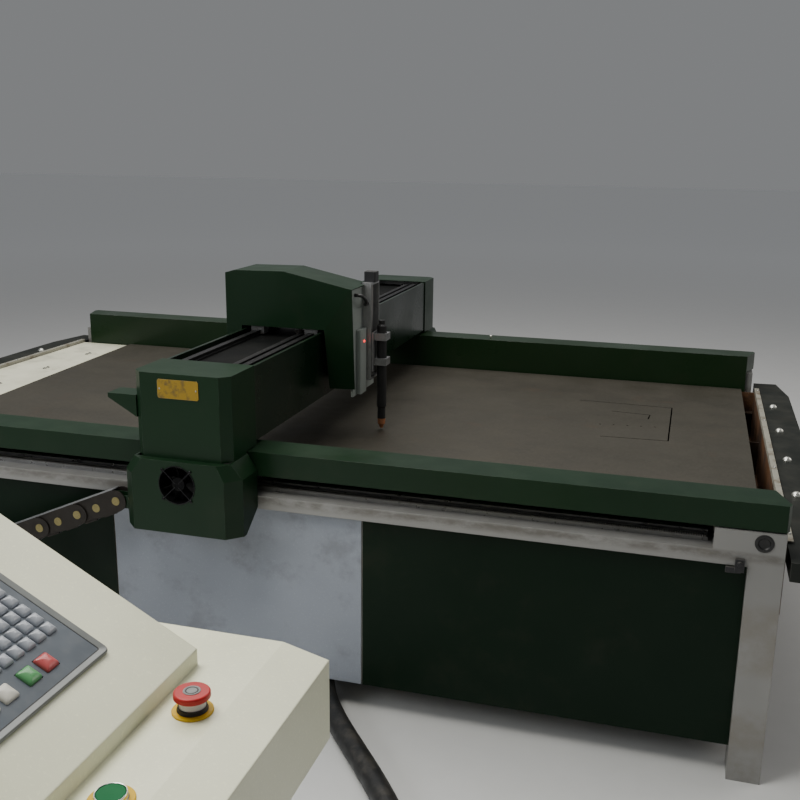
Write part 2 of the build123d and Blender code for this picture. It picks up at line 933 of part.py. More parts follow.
def lower_shell():
    """The lower housing as sheet, open at the back and round the drive."""
    with BuildPart() as shell:
        add(lower_body(0, lower_back, lower_bottom, 0))
        add(lower_body(sheet, lower_back - sheet, lower_bottom + sheet, sheet * 1.25), mode=Mode.SUBTRACT)
        inside = (housing_left + sheet, housing_right - sheet)
        back = cut_through - lower_back
        heel_top = lower_bottom + heel_slope * (heel_start - lower_back) + 2 * sheet
        block(inside, (-lower_back - sheet, back), (heel_top, shoulder), Mode.SUBTRACT)
        opening = between(gantry_x, end_plate_half_width)
        block(opening, (sheet - housing_front, back), (shoulder, housing_seam), Mode.SUBTRACT)
    return shell.part


# Cable chain geometry: pin centres from the gantry down to the tray

slope = math.radians(run_slope)
bend_turn = math.radians(180 - run_slope)
bend_radius = chain_pitch / (2 * math.sin(bend_turn / bend_links / 2))
strip_reach = chain_height / 2 + strip_thickness
lower_run_z = tray_wall + strip_reach
upper_length = upper_links * chain_pitch
chain_pin_z = lower_run_z + bend_radius * (1 + math.cos(slope)) + upper_length * math.sin(slope)
bend_x = chain_pin_x - upper_length * math.cos(slope) + bend_radius * math.sin(slope)
bend_z = lower_run_z + bend_radius

pin_step = (chain_pitch * math.cos(slope), chain_pitch * math.sin(slope))
upper_pins = [
    (chain_pin_x - index * pin_step[0], chain_pin_z - index * pin_step[1])
    for index in range(upper_links + 1)
]
for index in range(1, bend_links + 1):
    turn = math.pi / 2 + slope + bend_turn * index / bend_links
    upper_pins.append((bend_x + bend_radius * math.cos(turn), bend_z + bend_radius * math.sin(turn)))
lower_pins = [(bend_x + index * chain_pitch, lower_run_z) for index in range(lower_links + 1)]

stub_reach = 2 * link_wall + running_gap
inner_wall_outside = chain_width / 2 - link_wall - running_gap


def chain_link(outer):
    """One link lying along X round the origin: two walls, two strips, and stubs if it is an outer one."""
    half = chain_pitch / 2
    outside = chain_width / 2 if outer else inner_wall_outside
    strip_centre = (chain_height + strip_thickness) / 2
    with BuildPart() as link:
        for z in (-outside, outside - link_wall):
            with BuildSketch(Plane.XY.offset(z)):
                SlotCenterToCenter(chain_pitch, chain_height)
                if not outer:
                    with Locations((-half, 0), (half, 0)):
                        Circle(chain_stub_radius + bore_clearance, mode=Mode.SUBTRACT)
            extrude(amount=link_wall)
        with BuildSketch(Plane.XY.offset(-chain_width / 2)):
            with Locations((0, strip_centre)):
                Rectangle(chain_pitch - link_wall, strip_thickness)
            with Locations((0, -strip_centre)):
                Rectangle(chain_pitch * inner_strip_share, strip_thickness)
        extrude(amount=chain_width)
        if outer:
            for x in (-half, half):
                for side in (-1, 1):
                    face = side * chain_width / 2
                    rod((x, 0, face), (x, 0, face - side * stub_reach), chain_stub_radius)
                    rod((x, 0, face), (x, 0, face + side * chain_head), chain_head_radius)
    return link.part


chain_links = {True: chain_link(True), False: chain_link(False)}


def add_run(pins, first_index):
    """The links between a row of pin centres, outer and inner ones in turn."""
    for index, (start, end) in enumerate(zip(pins, pins[1:]), start=first_index):
        seat = Plane(
            origin=((start[0] + end[0]) / 2, chain_y, (start[1] + end[1]) / 2),
            x_dir=(end[0] - start[0], 0, end[1] - start[1]),
            z_dir=(0, 1, 0),
        )
        add(seat * chain_links[index % 2 == 0])


def add_lug(pin, root_x):
    """A pair of lug plates that the end link hangs on, from a wall or block at root_x."""
    tip = pin[0] + math.copysign(lug_half_height, pin[0] - root_x)
    for side in (-1, 1):
        outside = chain_y + side * inner_wall_outside
        inside = outside - side * link_wall
        block((tip, root_x), (outside, inside), between(pin[1], lug_half_height))
        hole = chain_stub_radius + bore_clearance
        bore((pin[0], outside, pin[1]), (pin[0], inside, pin[1]), hole)


with BuildPart() as near_lower_housing:
    add(lower_shell())
    vent = gantry_x + fan_x
    bore((vent, -lower_front, fan_z), (vent, sheet - lower_front, fan_z), vent_radius)
    add_lug(upper_pins[0], housing_left + sheet / 2)
near_lower_housing.part.label = "near_lower_housing"
export_step(near_lower_housing.part, "parts/near_lower_housing.step")

with BuildPart() as far_end_housing:
    mirror(near_upper_housing.part, about=Plane.XZ)
    mirror(lower_shell(), about=Plane.XZ)
far_end_housing.part.label = "far_end_housing"
export_step(far_end_housing.part, "parts/far_end_housing.step")

with BuildPart() as plaque:
    width = [gantry_x + edge for edge in plaque_x]
    block(width, (-housing_front - plaque_thickness, -housing_front), plaque_z)
    plaque_edges = plaque.edges().filter_by(Axis.Y)
    chamfer(plaque_edges, length=2 * plaque_thickness)
plaque.part.label = "plaque"
export_step(plaque.part, "parts/plaque.step")


# Fan behind the vent of the near lower housing

fan_front = -lower_front + sheet
fan_centre_x = gantry_x + fan_x

with BuildPart() as fan_guard:
    guard_back = -lower_front
    guard_front = guard_back - guard_wire
    with BuildSketch(across(fan_centre_x, fan_z, guard_front)) as wires:
        for radius in guard_rings:
            Circle(radius + guard_wire / 2)
            Circle(radius - guard_wire / 2, mode=Mode.SUBTRACT)
            if radius == guard_rings[0]:
                Circle(radius / 2)
        spoke_start = guard_rings[0] / 2
        with PolarLocations((guard_reach + spoke_start) / 2, 4, start_angle=45):
            Rectangle(guard_reach - spoke_start, guard_wire)
    extrude(wires.sketch, amount=guard_wire)
fan_guard.part.label = "fan_guard"
export_step(fan_guard.part, "parts/fan_guard.step")

with BuildPart() as fan_frame:
    fan_back = fan_front + fan_depth
    block(between(fan_centre_x, fan_size / 2), (fan_front, fan_back), between(fan_z, fan_size / 2))
    corner_edges = fan_frame.edges().filter_by(Axis.Y)
    fillet(corner_edges, radius=fan_corner)
    spider = fan_back - fan_spider_depth
    rod((fan_centre_x, fan_front, fan_z), (fan_centre_x, spider, fan_z), fan_bore, Mode.SUBTRACT)
    with BuildSketch(across(fan_centre_x, fan_z, spider)) as windows:
        Circle(fan_bore)
        Circle(fan_hub, mode=Mode.SUBTRACT)
        with PolarLocations(0, 3, start_angle=90):
            with Locations((fan_bore / 2, 0)):
                Rectangle(fan_bore, fan_spider_arm, mode=Mode.SUBTRACT)
    extrude(windows.sketch, amount=fan_spider_depth, mode=Mode.SUBTRACT)
    rod((fan_centre_x, spider, fan_z), (fan_centre_x, fan_front + fan_pin_start, fan_z), fan_pin)
fan_frame.part.label = "fan_frame"
export_step(fan_frame.part, "parts/fan_frame.step")

with BuildPart() as fan_blade:
    for reach, (pitch_angle, chord) in ((fan_hub - sheet, fan_blade_root), (fan_blade_tip, fan_blade_end)):
        turn = math.radians(pitch_angle)
        section = Plane(
            origin=(fan_centre_x + reach, fan_front + fan_depth / 2 - cut_through, fan_z),
            x_dir=(0, math.cos(turn), math.sin(turn)),
            z_dir=(1, 0, 0),
        )
        with BuildSketch(section):
            Rectangle(chord, fan_blade_thickness)
    loft()

with BuildPart() as fan_rotor:
    hub_front = fan_front + fan_hub_start
    hub_back = fan_back - fan_spider_depth - cut_through
    rod((fan_centre_x, hub_front, fan_z), (fan_centre_x, hub_back, fan_z), fan_hub)
    fan_axis = Axis((fan_centre_x, 0, fan_z), (0, 1, 0))
    for index in range(fan_blades):
        add(fan_blade.part.rotate(fan_axis, 360 * index / fan_blades))
    pin_end = (fan_centre_x, fan_front + fan_pin_start - running_gap, fan_z)
    rod((fan_centre_x, hub_back, fan_z), pin_end, fan_pin + bore_clearance, Mode.SUBTRACT)
fan_rotor.part.label = "fan_rotor"
export_step(fan_rotor.part, "parts/fan_rotor.step")


# Drives along the table: a motor and a pinion at each end of the gantry

with BuildPart() as x_motors:
    half = motor_size / 2
    for side in (-1, 1):
        block(between(gantry_x, half), (side * end_plate_outer, side * motor_face), between(drive_z, half))
    long_edges = x_motors.edges().filter_by(Axis.Y)
    chamfer(long_edges, length=motor_edge)
    bore_end = end_plate_outer + shaft_depth + shaft_end_gap
    for side in (-1, 1):
        start = (gantry_x, side * end_plate_outer, drive_z)
        bore(start, (gantry_x, side * bore_end, drive_z), shaft_radius + bore_clearance)
x_motors.part.label = "x_motors"
export_step(x_motors.part, "parts/x_motors.step")

with BuildPart() as near_pinion:
    gear_face = -rack_y - rack_width / 2
    prism(across(gantry_x, drive_z, gear_face), gear_points(gear_teeth, gear_module), rack_width)
    rod((gantry_x, gear_face, drive_z), (gantry_x, -end_plate_outer - shaft_depth, drive_z), shaft_radius)
near_pinion.part.label = "near_pinion"
export_step(near_pinion.part, "parts/near_pinion.step")

with BuildPart() as far_pinion:
    mirror(near_pinion.part, about=Plane.XZ)
far_pinion.part.label = "far_pinion"
export_step(far_pinion.part, "parts/far_pinion.step")


# Cable chain and its tray

with BuildPart() as chain_upper_run:
    add_run(upper_pins, 0)
chain_upper_run.part.label = "chain_upper_run"
export_step(chain_upper_run.part, "parts/chain_upper_run.step")

with BuildPart() as chain_lower_run:
    add_run(lower_pins, upper_links + bend_links)
chain_lower_run.part.label = "chain_lower_run"
export_step(chain_lower_run.part, "parts/chain_lower_run.step")

with BuildPart() as chain_tray:
    tray_left = bend_x - bend_radius - chain_height
    tray_right = lower_pins[-1][0] + tray_end
    tray_half = chain_width / 2 + tray_side_gap
    block((tray_left, tray_right), between(chain_y, tray_half), (0, tray_height))
    inside = between(chain_y, tray_half - tray_wall)
    block((tray_left, tray_right), inside, (tray_wall, tray_height), Mode.SUBTRACT)
    end_block = (tray_right - tray_block, tray_right)
    block(end_block, between(chain_y, inner_wall_outside), (tray_wall, lower_run_z + lug_half_height))
    add_lug(lower_pins[-1], tray_right - tray_block / 2)
chain_tray.part.label = "chain_tray"
export_step(chain_tray.part, "parts/chain_tray.step")


# Carriage on the gantry

with BuildPart() as carriage_plate:
    plate_front = hood_front + sheet
    plate_back = hood_back - sheet
    plate_plan = [
        (carriage_left, plate_front),
        (mount_x - carriage_corner[0], plate_front),
        (mount_x, plate_front + carriage_corner[1]),
        (mount_x, plate_back),
        (carriage_left, plate_back),
    ]
    prism(Plane.XY.offset(carriage_plate_z), plate_plan, carriage_plate_thickness)
    bore(
        (cross_pinion_x, carriage_y, carriage_plate_z),
        (cross_pinion_x, carriage_y, carriage_plate_top),
        cross_shaft_radius + cross_shaft_gap,
    )
carriage_plate.part.label = "carriage_plate"
export_step(carriage_plate.part, "parts/carriage_plate.step")

with BuildPart() as y_guide_blocks:
    width, length = carriage_block
    for offset_x in (-cross_guide_offset, cross_guide_offset):
        for offset_y in (-carriage_block_spread, carriage_block_spread):
            x = gantry_x + offset_x
            y = carriage_y + offset_y
            along = between(y, length / 2)
            block(between(x, width / 2), along, (carriage_block_bottom, carriage_plate_z))
            groove = between(x, guide_size / 2 + running_gap)
            groove_top = beam_top + cross_guide_height + running_gap
            block(groove, along, (carriage_block_bottom, groove_top), Mode.SUBTRACT)
y_guide_blocks.part.label = "y_guide_blocks"
export_step(y_guide_blocks.part, "parts/y_guide_blocks.step")

with BuildPart() as carriage_motors:
    for x, y, size, bottom, height in (
        (cross_pinion_x, carriage_y, cross_motor_size, carriage_plate_top, cross_motor_length),
        (lift_axis_x, lift_y, lift_motor, lift_top, lift_motor_height),
    ):
        block(between(x, size / 2), between(y, size / 2), (bottom, bottom + height))
    upright_edges = carriage_motors.edges().filter_by(Axis.Z)
    chamfer(upright_edges, length=cross_motor_edge)
    for x, y, bottom, depth, radius in (
        (cross_pinion_x, carriage_y, carriage_plate_top, cross_shaft_depth, cross_shaft_radius),
        (lift_axis_x, lift_y, lift_top, screw_end, screw_journal),
    ):
        bore((x, y, bottom), (x, y, bottom + depth + shaft_end_gap), radius + bore_clearance)
carriage_motors.part.label = "carriage_motors"
export_step(carriage_motors.part, "parts/carriage_motors.step")

with BuildPart() as y_pinion:
    gear_seat = (cross_pinion_x, carriage_y, beam_top + cross_gear_lift)
    prism(Plane(origin=gear_seat), gear_points(gear_teeth, gear_module), cross_gear_width)
    shaft_end = (cross_pinion_x, carriage_y, carriage_plate_top + cross_shaft_depth)
    rod(gear_seat, shaft_end, cross_shaft_radius)
y_pinion.part.label = "y_pinion"
export_step(y_pinion.part, "parts/y_pinion.step")


# Hood of the carriage: folded sheet with a facet turned back at the lower right

facet_origin = Vector(*facet_points[0])
facet_sides = [Vector(*point) - facet_origin for point in facet_points[1:]]
facet_normal = facet_sides[0].cross(facet_sides[1]).normalized()
facet_normal = facet_normal * math.copysign(1, facet_normal.Y)


def hood_solid(outline, front, back, facet_inset):
    """The hood's outline drawn out along Y and trimmed by its facet."""
    with BuildPart() as solid:
        prism(Plane.XZ.offset(-front), outline, front - back)
        facet = Plane(origin=facet_origin + facet_normal * facet_inset, z_dir=facet_normal)
        split(bisect_by=facet, keep=Keep.TOP)
    return solid.part


with BuildPart() as hood:
    add(hood_solid(hood_outline, hood_front, hood_back, 0))
    add(hood_solid(hood_cavity_outline, hood_front + sheet, hood_back - sheet, sheet), mode=Mode.SUBTRACT)
    # The lift stands in a notch at the far right
    notch_edge = lift_y - lift_width / 2 - running_gap
    block((mount_x, hood_notch_right), (notch_edge, hood_back + cut_through), hood_notch_z, Mode.SUBTRACT)
hood.part.label = "hood"
export_step(hood.part, "parts/hood.step")


# Lift: mount plate, channel with screw, motor, slide and torch

across_table = Plane(origin=(mount_x, 0, 0), x_dir=(0, 1, 0), z_dir=(1, 0, 0))

with BuildPart() as lift_mount_plate:
    prism(across_table, mount_outline, mount_thickness)
lift_mount_plate.part.label = "lift_mount_plate"
export_step(lift_mount_plate.part, "parts/lift_mount_plate.step")

with BuildPart() as lift_housing:
    block((mount_face, lift_front), between(lift_y, lift_width / 2), (lift_bottom, lift_top))
    block(
        (mount_face + lift_wall, lift_front),
        between(lift_y, lift_width / 2 - lift_wall),
        (lift_bottom + lift_end, lift_top - lift_end),
        Mode.SUBTRACT,
    )
    bore((lift_axis_x, lift_y, lift_bottom), (lift_axis_x, lift_y, lift_top), screw_journal + bore_clearance)
lift_housing.part.label = "lift_housing"
export_step(lift_housing.part, "parts/lift_housing.step")

with BuildPart() as lift_screw:
    thread_bottom = lift_bottom + lift_end + running_gap
    thread_top = lift_top - lift_end - running_gap
    rod((lift_axis_x, lift_y, thread_bottom), (lift_axis_x, lift_y, thread_top), screw_radius)
    rod((lift_axis_x, lift_y, lift_bottom), (lift_axis_x, lift_y, lift_top + screw_end), screw_journal)
lift_screw.part.label = "lift_screw"
export_step(lift_screw.part, "parts/lift_screw.step")

with BuildPart() as torch_slide:
    block((slide_face, slide_front), between(lift_y, slide_plate_half_width), slide_plate_z)
    nut_back = lift_axis_x - screw_radius - nut_wall
    nut_bottom, nut_top = nut_z
    block((nut_back, slide_face), between(lift_y, nut_half_width), nut_z)
    bore((lift_axis_x, lift_y, nut_bottom), (lift_axis_x, lift_y, nut_top), screw_radius + bore_clearance)
    clamp_front = torch_x + torch_radius + clamp_wall
    for z in clamp_z:
        block((slide_front, clamp_front), between(lift_y, clamp_half_width), (z, z + clamp_height))
        bore((torch_x, lift_y, z), (torch_x, lift_y, z + clamp_height), torch_radius + bore_clearance)
torch_slide.part.label = "torch_slide"
export_step(torch_slide.part, "parts/torch_slide.step")

with BuildPart() as torch_body:
    with BuildSketch(Plane(origin=(torch_x, lift_y, 0), x_dir=(1, 0, 0), z_dir=(0, -1, 0))) as torch_profile:
        with BuildLine():
            bottom, top = torch_z
            neck = torch_radius - torch_neck_step
            cap = torch_radius - torch_shoulder
            Polyline(
                (0, bottom),
                (neck, bottom),
                (neck, bottom + torch_neck_length),
                (torch_radius, bottom + torch_neck_length + torch_shoulder),
                (torch_radius, top - torch_cap_height - torch_shoulder),
                (cap, top - torch_cap_height),
                (cap, top),
                (0, top),
                close=True,
            )
        make_face()
    revolve(axis=Axis((torch_x, lift_y, 0), (0, 0, 1)))
torch_body.part.label = "torch_body"
export_step(torch_body.part, "parts/torch_body.step")

with BuildPart() as nozzle:
    with BuildSketch(Plane(origin=(torch_x, lift_y, 0), x_dir=(1, 0, 0), z_dir=(0, -1, 0))):
        with BuildLine():
            outside = [(radius, nozzle_tip + height) for radius, height in nozzle_profile]
            Polyline((nozzle_bore, nozzle_tip), *outside, (nozzle_bore, torch_z[0]), close=True)
        make_face()
    revolve(axis=Axis((torch_x, lift_y, 0), (0, 0, 1)))
nozzle.part.label = "nozzle"
export_step(nozzle.part, "parts/nozzle.step")

with BuildPart() as height_box:
    block((mount_face, mount_face + height_box_depth), height_box_y, height_box_z)
    front_edges = height_box.edges().filter_by(Axis.Z).group_by(Axis.X)[-1]
    chamfer(front_edges, length=height_box_edge)
height_box.part.label = "height_box"
export_step(height_box.part, "parts/height_box.step")


# Cords: straight runs joined by tangent arcs

def cord_radii(route):
    """The arc at each corner of a route, as large as its two runs allow."""
    radii = []
    for before, corner, after in zip(route, route[1:], route[2:]):
        first = Vector(*corner) - Vector(*before)
        second = Vector(*after) - Vector(*corner)
        half_turn = math.radians(first.get_angle(second) / 2)
        radii.append(0.45 * min(first.length, second.length) / math.tan(half_turn))
    return radii


def cord_solid(name, route, radius):
    """A round tube along a route, with its radii and volume printed."""
    radii = cord_radii(route)
    with BuildPart() as cord:
        with BuildLine():
            line = FilletPolyline(*route, radius=radii)
        with BuildSketch(Plane(origin=route[0], z_dir=Vector(*route[1]) - Vector(*route[0]))):
            Circle(radius)
        sweep()
    expected = math.pi * radius**2 * line.length
    print(name, "radii", [round(value) for value in radii])
    print(name, "length", round(line.length), "volume share", round(cord.part.volume / expected, 5))
    cord.part.label = name
    return cord.part


torch_hose = cord_solid("torch_hose", hose_route, hose_radius)
export_step(torch_hose, "parts/torch_hose.step")

conduit = cord_solid("conduit", conduit_route, conduit_radius)
export_step(conduit, "parts/conduit.step")


# Junction box under the table, and the console

def gland(start, side):
    """A cable gland on a wall that faces along Y, tapered away from it."""
    base = Plane(origin=start, z_dir=(0, side, 0))
    with BuildSketch(base) as flange:
        Circle(gland_radius)
    extrude(flange.sketch, amount=gland_length, taper=gland_taper)


with BuildPart() as junction_box:
    block(box_x, box_y, box_z)
    offset(amount=-sheet, openings=[junction_box.faces().sort_by(Axis.Y)[-1]])
    lid_x = (box_x[0] + sheet, box_x[1] - sheet)
    lid_z = (box_z[0] + sheet, box_z[1] - sheet)
    block(lid_x, (box_y[1] - sheet, box_y[1]), lid_z)
    gland((conduit_route[0][0], box_y[0], conduit_route[0][2]), -1)
junction_box.part.label = "junction_box"
export_step(junction_box.part, "parts/junction_box.step")

with BuildPart() as console_pedestal:
    block(pedestal_x, pedestal_y, (0, console_bottom))
    offset(amount=-sheet, openings=[console_pedestal.faces().sort_by(Axis.Z)[-1]])
    gland((conduit_route[-1][0], pedestal_y[1], conduit_route[-1][2]), 1)
console_pedestal.part.label = "console_pedestal"
export_step(console_pedestal.part, "parts/console_pedestal.step")

shelf_profile = [
    (desk_back, console_bottom),
    (desk_front, console_bottom),
    (desk_front, desk_front_top),
    (shelf_fold, shelf_top),
    (desk_back, shelf_top),
]
raised_profile = [
    (desk_back, shelf_top),
    (raised_front, shelf_top),
    (raised_front, raised_top),
    (slope_end, slope_top),
    (desk_back, slope_top),
]

with BuildPart() as console_desk:
    prism(Plane.XZ.offset(-console_far), shelf_profile, console_far - console_near)
    prism(Plane.XZ.offset(-raised_far), raised_profile, raised_far - console_near)
    offset(amount=-sheet, openings=[console_desk.faces().sort_by(Axis.Z)[0]])
    for x, y in (estop_place, start_place):
        bore((x, y, shelf_top - sheet), (x, y, shelf_top), button_stem + button_sleeve)
console_desk.part.label = "console_desk"
export_step(console_desk.part, "parts/console_desk.step")


def on_desk(position, height=0):
    """A plane on the sloping desk, at a place along and up the slope."""
    return desk_plane.offset(height).shift_origin(
        desk_plane.offset(height).from_local_coords(Vector(position[0], position[1], 0))
    )


with BuildPart() as keypad_panel:
    width, height = keypad_size
    centre = (keypad_corner[0] - width / 2, keypad_corner[1] + height / 2)
    with BuildSketch(on_desk(centre)) as panel_outline:
        RectangleRounded(width, height, keypad_radius)
        window = command_key_size + 2 * command_key_gap
        for place in command_key_positions:
            with Locations((place[0] - centre[0], place[1] - centre[1])):
                Rectangle(window, window, mode=Mode.SUBTRACT)
    extrude(panel_outline.sketch, amount=keypad_thickness)
keypad_panel.part.label = "keypad_panel"
export_step(keypad_panel.part, "parts/keypad_panel.step")


with BuildPart() as keypad_keys:
    for column in range(key_columns):
        for row in range(key_rows):
            place = (first_key[0] - column * key_pitch[0], first_key[1] + row * key_pitch[1])
            with BuildSketch(on_desk(place, keypad_thickness)) as cap:
                Rectangle(key_size, key_size)
            extrude(cap.sketch, amount=key_rise, taper=key_taper)
    for column in range(wide_key_count):
        place = (wide_key_first - column * wide_key_pitch, command_key_positions[0][1])
        with BuildSketch(on_desk(place, keypad_thickness)) as cap:
            Rectangle(command_key_size, command_key_size)
        extrude(cap.sketch, amount=key_rise, taper=key_taper)
keypad_keys.part.label = "keypad_keys"
export_step(keypad_keys.part, "parts/keypad_keys.step")

for name, place in zip(("red_key", "green_key"), command_key_positions):
    with BuildPart() as command_key:
        foot_height = running_gap + key_travel
        with BuildSketch(on_desk(place, foot_height)) as foot:
            Rectangle(command_key_size, command_key_size)
        extrude(foot.sketch, amount=command_key_foot)
        with BuildSketch(on_desk(place, foot_height + command_key_foot)) as cap:
            Rectangle(command_key_size, command_key_size)
        extrude(cap.sketch, amount=key_rise, taper=key_taper)
    command_key.part.label = name
    export_step(command_key.part, f"parts/{name}.step")

with BuildPart() as monitor_case:
    lean = monitor_height / math.tan(math.radians(monitor_lean))
    monitor_profile = [
        (slope_end, slope_top),
        (slope_end - lean, slope_top + monitor_height),
        (monitor_back, slope_top + monitor_height),
        (desk_back, slope_top + monitor_height / 2),
        (desk_back, slope_top),
    ]
    prism(Plane.XZ.offset(-raised_far), monitor_profile, raised_far - console_near)
    offset(amount=-sheet, openings=[monitor_case.faces().sort_by(Axis.Z)[0]])
    screen_rise = Vector(-lean, 0, monitor_height)
    screen_centre = Vector(slope_end, (raised_far + console_near) / 2, slope_top) + screen_rise * 0.5
    screen_plane = Plane(origin=screen_centre, x_dir=(0, 1, 0), z_dir=(monitor_height, 0, lean))
    screen_half_height = screen_rise.length / 2 - screen_border
    with BuildSketch(screen_plane) as window:
        Rectangle(2 * screen_half_width, 2 * screen_half_height)
    extrude(window.sketch, amount=-sheet, mode=Mode.SUBTRACT)
monitor_case.part.label = "monitor_case"
export_step(monitor_case.part, "parts/monitor_case.step")

with BuildPart() as screen:
    with BuildSketch(screen_plane.offset(-sheet)) as glass:
        Rectangle(2 * (screen_half_width + screen_overlap), 2 * (screen_half_height + screen_overlap))
    extrude(glass.sketch, amount=-screen_thickness)
screen.part.label = "screen"
export_step(screen.part, "parts/screen.step")


# Push buttons on the shelf: a collar, and a cap on a stem that slides in it

def button_collar(place, bezel_top, pocket_depth, plunger):
    """A legend plate with a bezel on it, the pocket for the plunger, and a sleeve for the stem."""
    x, y = place
    pocket_radius = plunger + running_gap
    sleeve_end = (x, y, shelf_top - button_sleeve_length)
    rod((x, y, shelf_top), (x, y, shelf_top + legend_thickness), legend_radius)
    rod((x, y, shelf_top), (x, y, bezel_top), pocket_radius + bezel_wall)
    rod(sleeve_end, (x, y, shelf_top), button_stem + button_sleeve - running_gap)
    bore((x, y, bezel_top - pocket_depth), (x, y, bezel_top), pocket_radius)
    bore(sleeve_end, (x, y, bezel_top), button_stem + bore_clearance)


with BuildPart() as estop_collar:
    button_collar(estop_place, estop_bezel_top, estop_pocket, estop_skirt)
estop_collar.part.label = "estop_collar"
export_step(estop_collar.part, "parts/estop_collar.step")

with BuildPart() as start_collar:
    button_collar(start_place, start_bezel_top, start_pocket, start_cap)
start_collar.part.label = "start_collar"
export_step(start_collar.part, "parts/start_collar.step")

with BuildPart() as estop_button:
    x, y = estop_place
    cap_bottom = shelf_top + estop_cap_bottom
    skirt_bottom = estop_bezel_top - estop_skirt_seat
    rod((x, y, shelf_top - button_stem_length), (x, y, skirt_bottom), button_stem)
    rod((x, y, skirt_bottom), (x, y, cap_bottom), estop_skirt)
    rod((x, y, cap_bottom), (x, y, cap_bottom + estop_cap_height), estop_cap)
    cap_circles = estop_button.edges().filter_by(lambda edge: edge.geom_type == GeomType.CIRCLE)
    cap_edges = cap_circles.group_by(Axis.Z)
    fillet(cap_edges[-1], radius=estop_cap_edge)
    underside = estop_button.edges().filter_by(GeomType.CIRCLE).filter_by(
        lambda edge: abs(edge.center().Z - cap_bottom) < running_gap and edge.radius > estop_skirt)
    chamfer(underside, length=estop_cap_underside)
estop_button.part.label = "estop_button"
export_step(estop_button.part, "parts/estop_button.step")

with BuildPart() as start_button:
    x, y = start_place
    cap_top = start_bezel_top - start_cap_recess
    cap_bottom = cap_top - start_cap_height
    rod((x, y, shelf_top - button_stem_length), (x, y, cap_bottom), button_stem)
    rod((x, y, cap_bottom), (x, y, cap_top), start_cap)
    rim = start_button.edges().filter_by(GeomType.CIRCLE).sort_by(Axis.Z)[-1]
    chamfer(rim, length=start_cap_edge)
start_button.part.label = "start_button"
export_step(start_button.part, "parts/start_button.step")
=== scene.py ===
import math

import bmesh
import bpy
from mathutils import Matrix, Vector


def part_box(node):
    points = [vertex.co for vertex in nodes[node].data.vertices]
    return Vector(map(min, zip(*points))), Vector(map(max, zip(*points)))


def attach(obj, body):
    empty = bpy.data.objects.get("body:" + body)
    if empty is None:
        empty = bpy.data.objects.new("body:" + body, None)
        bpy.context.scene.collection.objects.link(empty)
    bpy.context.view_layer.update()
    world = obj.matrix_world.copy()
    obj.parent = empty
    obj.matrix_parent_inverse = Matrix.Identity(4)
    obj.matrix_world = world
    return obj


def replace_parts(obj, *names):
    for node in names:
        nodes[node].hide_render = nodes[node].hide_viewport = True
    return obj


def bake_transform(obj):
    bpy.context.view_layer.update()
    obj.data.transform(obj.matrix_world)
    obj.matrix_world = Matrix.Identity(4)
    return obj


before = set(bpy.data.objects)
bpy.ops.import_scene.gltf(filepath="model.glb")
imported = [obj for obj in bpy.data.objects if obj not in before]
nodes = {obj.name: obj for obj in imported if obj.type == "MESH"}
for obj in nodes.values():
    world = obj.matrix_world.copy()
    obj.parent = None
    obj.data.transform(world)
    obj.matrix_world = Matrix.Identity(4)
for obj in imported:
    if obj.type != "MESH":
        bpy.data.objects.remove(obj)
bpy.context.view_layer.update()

# Places on the machine, in metres, from the frame where it has them

MM = 0.001
X_AXIS = Vector((1, 0, 0))
Y_AXIS = Vector((0, 1, 0))
Z_AXIS = Vector((0, 0, 1))
TO_NEAR_SIDE = Vector((0, -1, 0))

beam_low, beam_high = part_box("beam")
rail_low, rail_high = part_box("x_guides")
cross_low, cross_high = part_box("y_guides")
deck_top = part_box("left_deck")[1].z
estop_low, estop_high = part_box("estop_button")
start_low, start_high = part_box("start_button")
estop_bezel_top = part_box("estop_collar")[1].z
start_bezel_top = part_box("start_collar")[1].z
guard_low, guard_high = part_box("fan_guard")
plaque_low, plaque_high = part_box("plaque")
height_box_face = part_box("height_box")[1].x


# Colours of the paints and of what lies on them; some hold painted shade and painted top light, as noted

GREEN = (0.0055, 0.0215, 0.0080)
# A darker copy of the machine green for the beam's sides: painted shade
SHADED_BEAM_GREEN = (0.0025, 0.0115, 0.0045)
FAR_GREEN = (0.010, 0.027, 0.0095)
# A darker copy of the machine green for the recessed panels: painted shade
SHADED_PANEL_GREEN = (0.0016, 0.0098, 0.0036)
# A lighter green for what faces up on the green paints: dust, and painted top light
GREEN_DUST_AND_TOP_LIGHT = (0.055, 0.085, 0.05)
WORN_GREEN = (0.12, 0.15, 0.12)
# The frame's off-white paint, darkened: partly painted shade
SHADED_FRAME_WHITE = (0.25, 0.247, 0.238)
# The white panel's grey-blue paint, darkened: partly painted shade
SHADED_PANEL_WHITE = (0.27, 0.295, 0.345)
CREAM = (0.72, 0.725, 0.53)
DECK_CREAM = (0.80, 0.79, 0.61)
BEAM_BLACK = (0.0035, 0.004, 0.004)
STRIP_GREY = (0.017, 0.0195, 0.017)
LIFT_GREY = (0.26, 0.29, 0.27)
ZINC = (0.30, 0.31, 0.32)
PLAQUE = (0.27, 0.17, 0.014)
PLATE = (0.060, 0.055, 0.043)
SLAT_BROWN = (0.07, 0.048, 0.034)
CAP_RED = (0.45, 0.018, 0.018)
CAP_STEM = (0.62, 0.60, 0.58)

BARE_STEEL = (0.32, 0.31, 0.29)
DUST = (0.24, 0.22, 0.18)
GRIME = (0.055, 0.045, 0.034)
